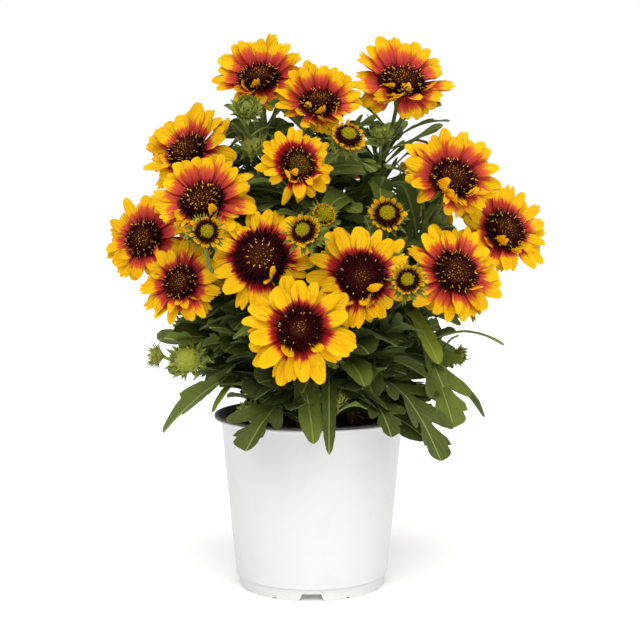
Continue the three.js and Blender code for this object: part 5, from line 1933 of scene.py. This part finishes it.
@dataclass
class Shoot:
    """One leafy shoot: its leaves and the green backs of its heads."""

    name: str
    stems: list[Stem]

    GREEN, DOME = 2, 3  # the numbers of the materials of bracts, and of a bud's woolly middle
    LEAF_THICK, BRACT_THICK, BRACT_ROWS = 0.55, 0.5, 7
    TAPER = ((0, 0.25, 0.6, 1), (0.8, 1.0, 0.6, 0.03))  # how wide a bract is along its length

    def add_leaves(self, skin: Skin, stem: Stem) -> None:
        """Adds a stem's leaves.

        Args:
            skin: The mesh that it goes into.
            stem: The stem.
        """
        draw = stem.head.draw(Seed.LEAF_FORMS)
        for leaf in stem.leaves:
            grid, along, across, off = leaf.grid(stem.curve.at(leaf.up), draw)
            tone = min(1.0, max(0.0, draw.near(0.4, 0.4) if leaf.tone is None else leaf.tone))
            cover = 0.012 + 0.6 * (np.abs(across) > 0.9)
            skin.add_blade(
                grid, self.LEAF_THICK, along=along, across=across, tone=tone, off=off, cover=cover
            )

    def add_back(self, skin: Skin, head: Head) -> None:
        """Adds the cup at the back of a head and the bracts round it.

        Args:
            skin: The mesh that it goes into.
            head: The head.
        """
        axes, draw, r = head.axes(), head.draw(Seed.BRACTS), head.radius
        is_bud, neck, drop = head.kind is Kind.BUD, THICK[head.kind], DROP[head.kind]
        open_ = head.fresh if is_bud else 0.0
        w = BACK[head.kind] * r * (1 + 0.5 * open_)
        profile = [(neck * 0.6, -drop - 1), (neck, -drop), (0.5 * w, -0.75 * drop), (0.85 * w, -0.45 * drop)]
        if is_bud:
            tall = w * (1.06 - 0.4 * open_)
            profile += [(w, -0.1 * drop), (w * 0.98, 0.3 * tall), (w * 0.8, 0.66 * tall)]
            profile += [(w * 0.45, 0.94 * tall), (0.1, tall)]
        else:
            profile += [(w, -0.1 * drop), (0.9 * w, 0.4), (0.1, 0.4)]
        finish = self.DOME if is_bud and head.fresh > 0.3 else self.GREEN
        skin.add(*lathe(profile, sides=16, axes=axes), finish=finish, along=0.2, tone=0.4, cover=1.0)
        for number, whorl in enumerate(WHORLS[head.kind]):
            for i in range(whorl.count):
                length = whorl.length * r * draw.near(1.0, 0.2)
                petal = Petal(
                    angle=(i + 0.5 * number + draw.near(0, 0.3)) * 2 * math.pi / whorl.count, length=length,
                    half=whorl.half * r * draw.near(1, 0.2) * (1 - 0.35 * open_),
                    rise=draw.near(whorl.slope, 9) - 34 * open_,
                    bend=draw.near(whorl.bend, 22) * (1 - 0.6 * open_), power=1.3, twist=draw.near(0, 22),
                    gutter=0.3, lobes=1, cut=0, seat=whorl.height * r, phase=draw(),
                )
                root = whorl.root * r * (1 + 0.45 * open_)
                self.add_bract(skin, axes, petal, root, BRIGHT[head.kind] * draw())

    def add_bract(self, skin: Skin, axes: Axes, petal: Petal, root: float, tone: float) -> None:
        """Adds one pointed bract.

        Args:
            skin: The mesh that it goes into.
            axes: The head's axes.
            petal: The ray that it is shaped after.
            root: The radius at which it starts.
            tone: How bright it is.
        """
        grid, along, across = petal.grid(axes, root, self.BRACT_ROWS, 5)
        v = np.linspace(0, 1, self.BRACT_ROWS)
        width = smooth_through(*self.TAPER, v) / smooth_through(*petal.WIDTH, v)
        middle = grid[:, 2:3]
        grid = middle + (grid - middle) * width[:, None, None]
        skin.add_blade(
            grid, self.BRACT_THICK, self.GREEN, along=along, across=across, tone=tone, cover=1.0
        )

    def build(self, palette: Palette) -> Piece:
        """Makes the leaves, cups and bracts of the shoot.

        Args:
            palette: The finishes.

        Returns:
            All of them as one piece.
        """
        skin = Skin("along", "across", "tone", "cover", "off")
        for stem in self.stems:
            self.add_leaves(skin, stem)
            self.add_back(skin, stem.head)
        materials = [palette.leaf, palette.leaf_back, palette.bract, palette.dome]
        return skin.build(f"shoot_{self.name}_leaves", materials, sharp=50)


class Down:
    """Fine hairs that stand on a surface where its "cover" number says."""

    DENSITY = 110000.0  # hairs to the square metre where the cover is 1
    LENGTH, WIDTH = 1.5 * MM, 0.22 * MM

    def __init__(self) -> None:
        """Builds the tree."""
        self.grower = g = Grower("down")
        density, length, width = g.ask("Density", "Length", "Width")
        [seed], [material] = g.ask("Seed", kind="Int"), g.ask("Finish", kind="Material")
        points, facing = g.strewn(density, seed)
        size = g.vector(width, width, length * g.chance(0.5, 1.3, 4))
        g.end(g.spread(points, g.spike(3, 1, 0.1, 0.5), g.sway(facing, 0.6, 6), size, material))

    def build(self, name: str, piece: Piece, seed: int, palette: Palette) -> Piece:
        """Makes the hairs of one piece."""
        sizes = {"Density": self.DENSITY, "Length": self.LENGTH, "Width": self.WIDTH}
        return place(name, self.grower.grow(piece.data, Seed=seed, Finish=palette.hair, **sizes))


# ------------------------------------------------------------------------------- pot and soil
@dataclass
class Pot:
    """The nursery pot: a thin tapered wall with a rolled lip and a stepped, notched foot."""

    sides: int = 144
    height: float = 146
    rim: float = 82.5
    lip: float = 4.6
    neck: float = 77
    heel: float = 64.5
    skirt: float = 62.2
    skirt_height: float = 9.6
    wall: float = 1.8
    pad: float = 36
    roof: float = 7
    notch: Point = (10.75, 7.75, 6)
    slit: Point = (1.9, 1.2, 1.7)
    slit_turn: float = 29
    drain: Pair = (5, 50)

    def profile(self) -> tuple[list[Pair], list[int]]:
        """The wall's section from the middle of the base, out, up and in again, and finishes.

        Returns:
            [radius, height] by corner, and the number of the finish from each to the next.
        """
        pad, skirt, step, rim, top = self.pad, self.skirt, self.skirt_height, self.rim, self.height
        foot, heel, floor = top - self.lip, step + 1.1, self.roof + self.wall
        outside = [
            (0.3, 0), (pad - 0.8, 0), (pad, 0.5), (pad + 3, self.roof), (skirt - 4, self.roof),
            (skirt - 2.6, 0.3), (skirt - 2.2, 0), (skirt - 0.9, 0), (skirt - 0.5, 0.4),
            (skirt - 0.05, step - 0.6), (skirt + 0.5, step - 0.1), (self.heel - 0.7, step + 0.4),
        ]
        outside += [
            (self.heel + (self.neck - self.heel) * t, heel + (foot - heel) * t)
            for t in (0, 0.25, 0.5, 0.75, 0.985)
        ]
        lip = [
            (self.neck + 0.3, foot), (rim - 1.0, foot + 0.25), (rim - 0.35, foot + 0.6),
            (rim - 0.1, foot + 1.3), (rim - 0.45, foot + 1.75), (rim - 0.45, foot + 2.0),
            (rim - 0.05, foot + 2.4), (rim, top - 1.2), (rim - 0.3, top - 0.5), (rim - 0.9, top - 0.08),
            (rim - 1.8, top), (rim - 3.0, top - 0.7), (self.neck - self.wall, top - 5.6),
        ]
        inside = [(skirt - 0.4, floor), (pad + 2, floor), (pad - 1, self.wall), (0.3, self.wall)]
        points = outside + lip + inside
        # Finish 2 runs from the lip's inner edge down the inside: dark plastic, made darker than the rim as
        # painted shade inside the lip.
        white, rolled = len(outside) + 5, len(outside) + 11
        return points, [0] * white + [1] * (rolled - white) + [2] * (len(points) - 1 - rolled)

    def cutter(self, foot: float, top: float, tall: float, azimuth: float) -> Piece:
        """A block that cuts a tapered notch through the skirt.

        Args:
            foot: Half its width below.
            top: Half its width above.
            tall: How high it cuts.
            azimuth: The side that it cuts, in degrees from the front.

        Returns:
            The block.
        """
        corners = [(-foot, -1.0), (foot, -1.0), (top, tall), (-top, tall)]
        points = [(x, y, z) for y in (-(self.skirt - 7), -(self.skirt + 5)) for x, z in corners]
        quads = [(0, 1, 2, 3), (4, 7, 6, 5), (0, 4, 5, 1), (1, 5, 6, 2), (2, 6, 7, 3), (3, 7, 4, 0)]
        turn = np.array(Matrix.Rotation(math.radians(azimuth), 3, "Z"))
        skin = Skin()
        skin.add(np.array(points, float) @ turn.T, np.array(quads))
        return skin.build("cutter")

    def drill(self, azimuth: float) -> Piece:
        """A rod that cuts a drain hole.

        Args:
            azimuth: Where it stands, in degrees from the front.

        Returns:
            The rod.
        """
        radius, ring = self.drain
        axes = replace(POT_AXES, at=ring * way_of(math.radians(azimuth - 90), 0.0))
        skin = Skin()
        skin.add(*lathe([(0.2, 2), (radius, 2), (radius, 13), (0.2, 13)], sides=20, axes=axes))
        return skin.build("cutter")

    def build(self, palette: Palette) -> Piece:
        """Makes the pot.

        Args:
            palette: The finishes.

        Returns:
            The pot as one piece.
        """
        profile, finish = self.profile()
        skin = Skin()
        skin.add(*lathe(profile, self.sides, POT_AXES), finish=np.repeat(finish, self.sides))
        pot = skin.build("pot_shell", [palette.white, palette.dark, palette.inner])
        cutters = []
        for k in range(4):
            cutters += [self.cutter(*self.notch, 90 * k), self.drill(90 * k + 45)]
            cutters += [self.cutter(*self.slit, 90 * k + turn) for turn in (-self.slit_turn, self.slit_turn)]
        for tool in cutters:
            modifier = pot.modifiers.new("cut", "BOOLEAN")
            modifier.operation, modifier.solver, modifier.object = "DIFFERENCE", "EXACT", tool
        mesh = baked(pot)
        for tool in cutters:
            bpy.data.objects.remove(tool)
        shade(mesh, sharp=32)
        return place("pot_shell", mesh)


@dataclass
class Soil:
    """The potting mix: a lumpy top strewn with crumbs of bark and peat."""

    level: float = 135
    crown: float = 2.5
    edge: float = 74.0
    sides: int = 96
    crumbs: float = 62000.0

    LUMPS = ((31.0, 0.9), (13.0, 0.8), (6.0, 0.55), (3.1, 0.3))  # how wide and how tall they are

    def surface(self) -> tuple[Array, Array, Array]:
        """The closed body of the mix.

        Returns:
            Its points, quads and tris.
        """
        rings = [(self.edge * t, self.level + self.crown * (1 - t**2)) for t in np.linspace(1, 0.02, 26)]
        points, quads, tris = lathe([(0.3, 100), (70.6, 100), *rings], self.sides, POT_AXES)
        top = points[:, 2] > 120
        x, y = points[top, 0], points[top, 1]
        draw = Draw(Seed.SOIL)
        for size, tall in self.LUMPS:
            for _ in range(3):
                angle, phase = draw() * ROUND, draw() * ROUND
                wave = np.sin((x * math.cos(angle) + y * math.sin(angle)) * ROUND / size + phase)
                points[top, 2] += wave * tall * np.minimum(1, (self.edge - np.hypot(x, y)) / 4 + 0.2)
        points[top, 2] += 8.5 * np.exp(-((x + 62) ** 2 + (y - 2) ** 2) / 800)
        return points, quads, tris

    def strewer(self) -> Grower:
        """Builds the tree that strews crumbs over the mix.

        Returns:
            The tree.
        """
        g = Grower("crumbs")
        density, size = g.ask("Density", "Size")
        [seed], [material] = g.ask("Seed", kind="Int"), g.ask("Finish", kind="Material")
        points, facing = g.strewn(density, seed)
        points = g.keep(points, tone=g.chance(0.0, 1.0, 2))
        lump = g.get("GeometryNodeMeshUVSphere", {"Segments": 7, "Rings": 5, "Radius": 1.0})
        bumps = g.get("ShaderNodeTexNoise", {"Scale": 1.1}, 1)
        bumps = g.get("ShaderNodeVectorMath", {0: bumps, 1: (0.5, 0.5, 0.5)}, operation="SUBTRACT")
        scale = g.times(g.chances((0.35, 0.3, 0.2), (1.5, 1.0, 0.7), 5), size)
        g.end(g.spread(points, g.moved(lump, Offset=bumps), g.sway(facing, 0.9, 6), scale, material))
        return g

    def build(self, palette: Palette) -> tuple[Piece, Piece]:
        """Makes the mix and its crumbs.

        Args:
            palette: The finishes.

        Returns:
            The mix, and the crumbs as another piece.
        """
        skin = Skin("cover")
        points, quads, tris = self.surface()
        flat = np.hypot(points[:, 0], points[:, 1])
        skin.add(points, quads, tris, cover=(points[:, 2] > 120) & (flat < 73))
        body = skin.build("soil_body", [palette.soil], sharp=80)
        strewer = self.strewer()
        mesh = strewer.grow(body.data, Density=self.crumbs, Size=1.9 * MM, Seed=3, Finish=palette.crumb)
        return body, place("soil_crumbs", mesh)


# ------------------------------------------------------------------------------- the studio
@dataclass
class Studio:
    """A white floor, soft light and the camera."""

    eye: Point = (0.0069, -1.150, 0.324)
    pitch: float = 4.95
    lens: float = 76.95
    sky: float = 0.33

    def build(self) -> None:
        """Sets up the floor, the lights and the camera."""
        scene = bpy.context.scene
        scene.view_settings.view_transform = "Standard"
        camera = bpy.data.cameras.new("camera")
        camera.lens, camera.sensor_width = self.lens, 36
        scene.camera = place("camera", camera)
        scene.camera.location = self.eye
        scene.camera.rotation_euler = (math.radians(90 - self.pitch), 0, 0)
        scene.world = bpy.data.worlds.new("studio")
        scene.world.use_nodes = True
        sky = Nodes(scene.world.node_tree)
        seen = sky.get("ShaderNodeLightPath", output="Is Camera Ray")
        background = sky.tree.nodes["Background"]
        background.inputs["Color"].default_value = (1, 1, 1, 1)
        sky.put(background.inputs["Strength"], seen * (1.0 - self.sky) + self.sky)
        glow = {"emission_color": (1, 1, 1, 1), "emission_strength": 0.1}
        p = Paint("floor", roughness=0.9, specular_ior_level=0.0, **glow)
        material = p.done(p.lit(srgb(250, 250, 250), p.noise(0.6, 2.0) * 0.02 + 0.99))
        mesh = bpy.data.meshes.new("floor")
        mesh.from_pydata([(-30, -30, 0), (30, -30, 0), (30, 30, 0), (-30, 30, 0)], [], [(0, 1, 2, 3)])
        mesh.materials.append(material)
        place("floor", mesh)
        self.sun("key", -5, 58, 66, 2.5)
        self.sun("fill", 30, 27, 100, 1.15)
        self.sun("back", 178, 42, 90, 0.75)

    def sun(self, name: str, azimuth: float, elevation: float, spread: float, strength: float) -> None:
        """Adds one broad, far light.

        Args:
            name: Its name.
            azimuth: Where it stands, in degrees to the right of the front.
            elevation: How high it stands, in degrees.
            spread: How wide it is in the sky, in degrees.
            strength: How strong it is.
        """
        lamp = bpy.data.lights.new(name, "SUN")
        lamp.angle, lamp.energy = math.radians(spread), strength
        place(name, lamp).rotation_euler = (math.radians(90 - elevation), 0, math.radians(azimuth))


# ------------------------------------------------------------------------------- all together
def settle(piece: Piece, slot: str, *nodes: str) -> None:
    """Lets a piece ride with the plant, in the place of CAD nodes.

    Args:
        piece: The piece.
        slot: Not used.
        nodes: The CAD nodes that it replaces.
    """
    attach(piece, "root")
    if nodes:
        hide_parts(*nodes)
    log.info("%s: %d faces", piece.name, len(piece.data.polygons))


def main() -> None:
    """Builds the studio, the pot, the mix, the shoots and the flower heads, in that order."""
    logging.basicConfig(level=logging.INFO, format="%(name)s: %(message)s")
    Studio().build()
    palette = Palette()
    settle(Pot().build(palette), "pot", "pot")
    body, crumbs = Soil().build(palette)
    settle(body, "soil", "soil")
    settle(crumbs, "soil")
    stems = lay_stems()
    foliage = Foliage(stems)
    log.info("%d packed leaves found", foliage.find())
    log.info("%d leaves added between them", foliage.fill())
    stalks, down = Stalks(), Down()
    for shoot in SHOOTS:
        own = [stem for stem in stems.values() if stem.head.shoot == shoot]
        leaves = Shoot(shoot, own).build(palette)
        settle(leaves, "green", f"shoot_{shoot}")
        settle(stalks.build(f"shoot_{shoot}_stems", own, palette), "green", f"shoot_{shoot}")
        settle(down.build(f"shoot_{shoot}_hairs", leaves, int(shoot), palette), "green")
    florets = Florets()
    for head in HEADS:
        if head.kind is Kind.BLOOM:
            flower = Bloom(head)
            settle(flower.build_rays(palette), "rays", f"rays_{head.name}")
            settle(flower.build_disc(florets, palette), "disc", f"disc_{head.name}")
        elif head.kind is Kind.BUTTON:
            dome, stubs = Button(head).build(florets, palette)
            settle(dome, "button")
            settle(stubs, "button", f"button_{head.name}")
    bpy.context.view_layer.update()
    meshes = [piece.data for piece in bpy.context.scene.objects if piece.type == "MESH"]
    log.info("%d faces in all", sum(len(mesh.polygons) for mesh in meshes))


if __name__ == "__main__":
    main()
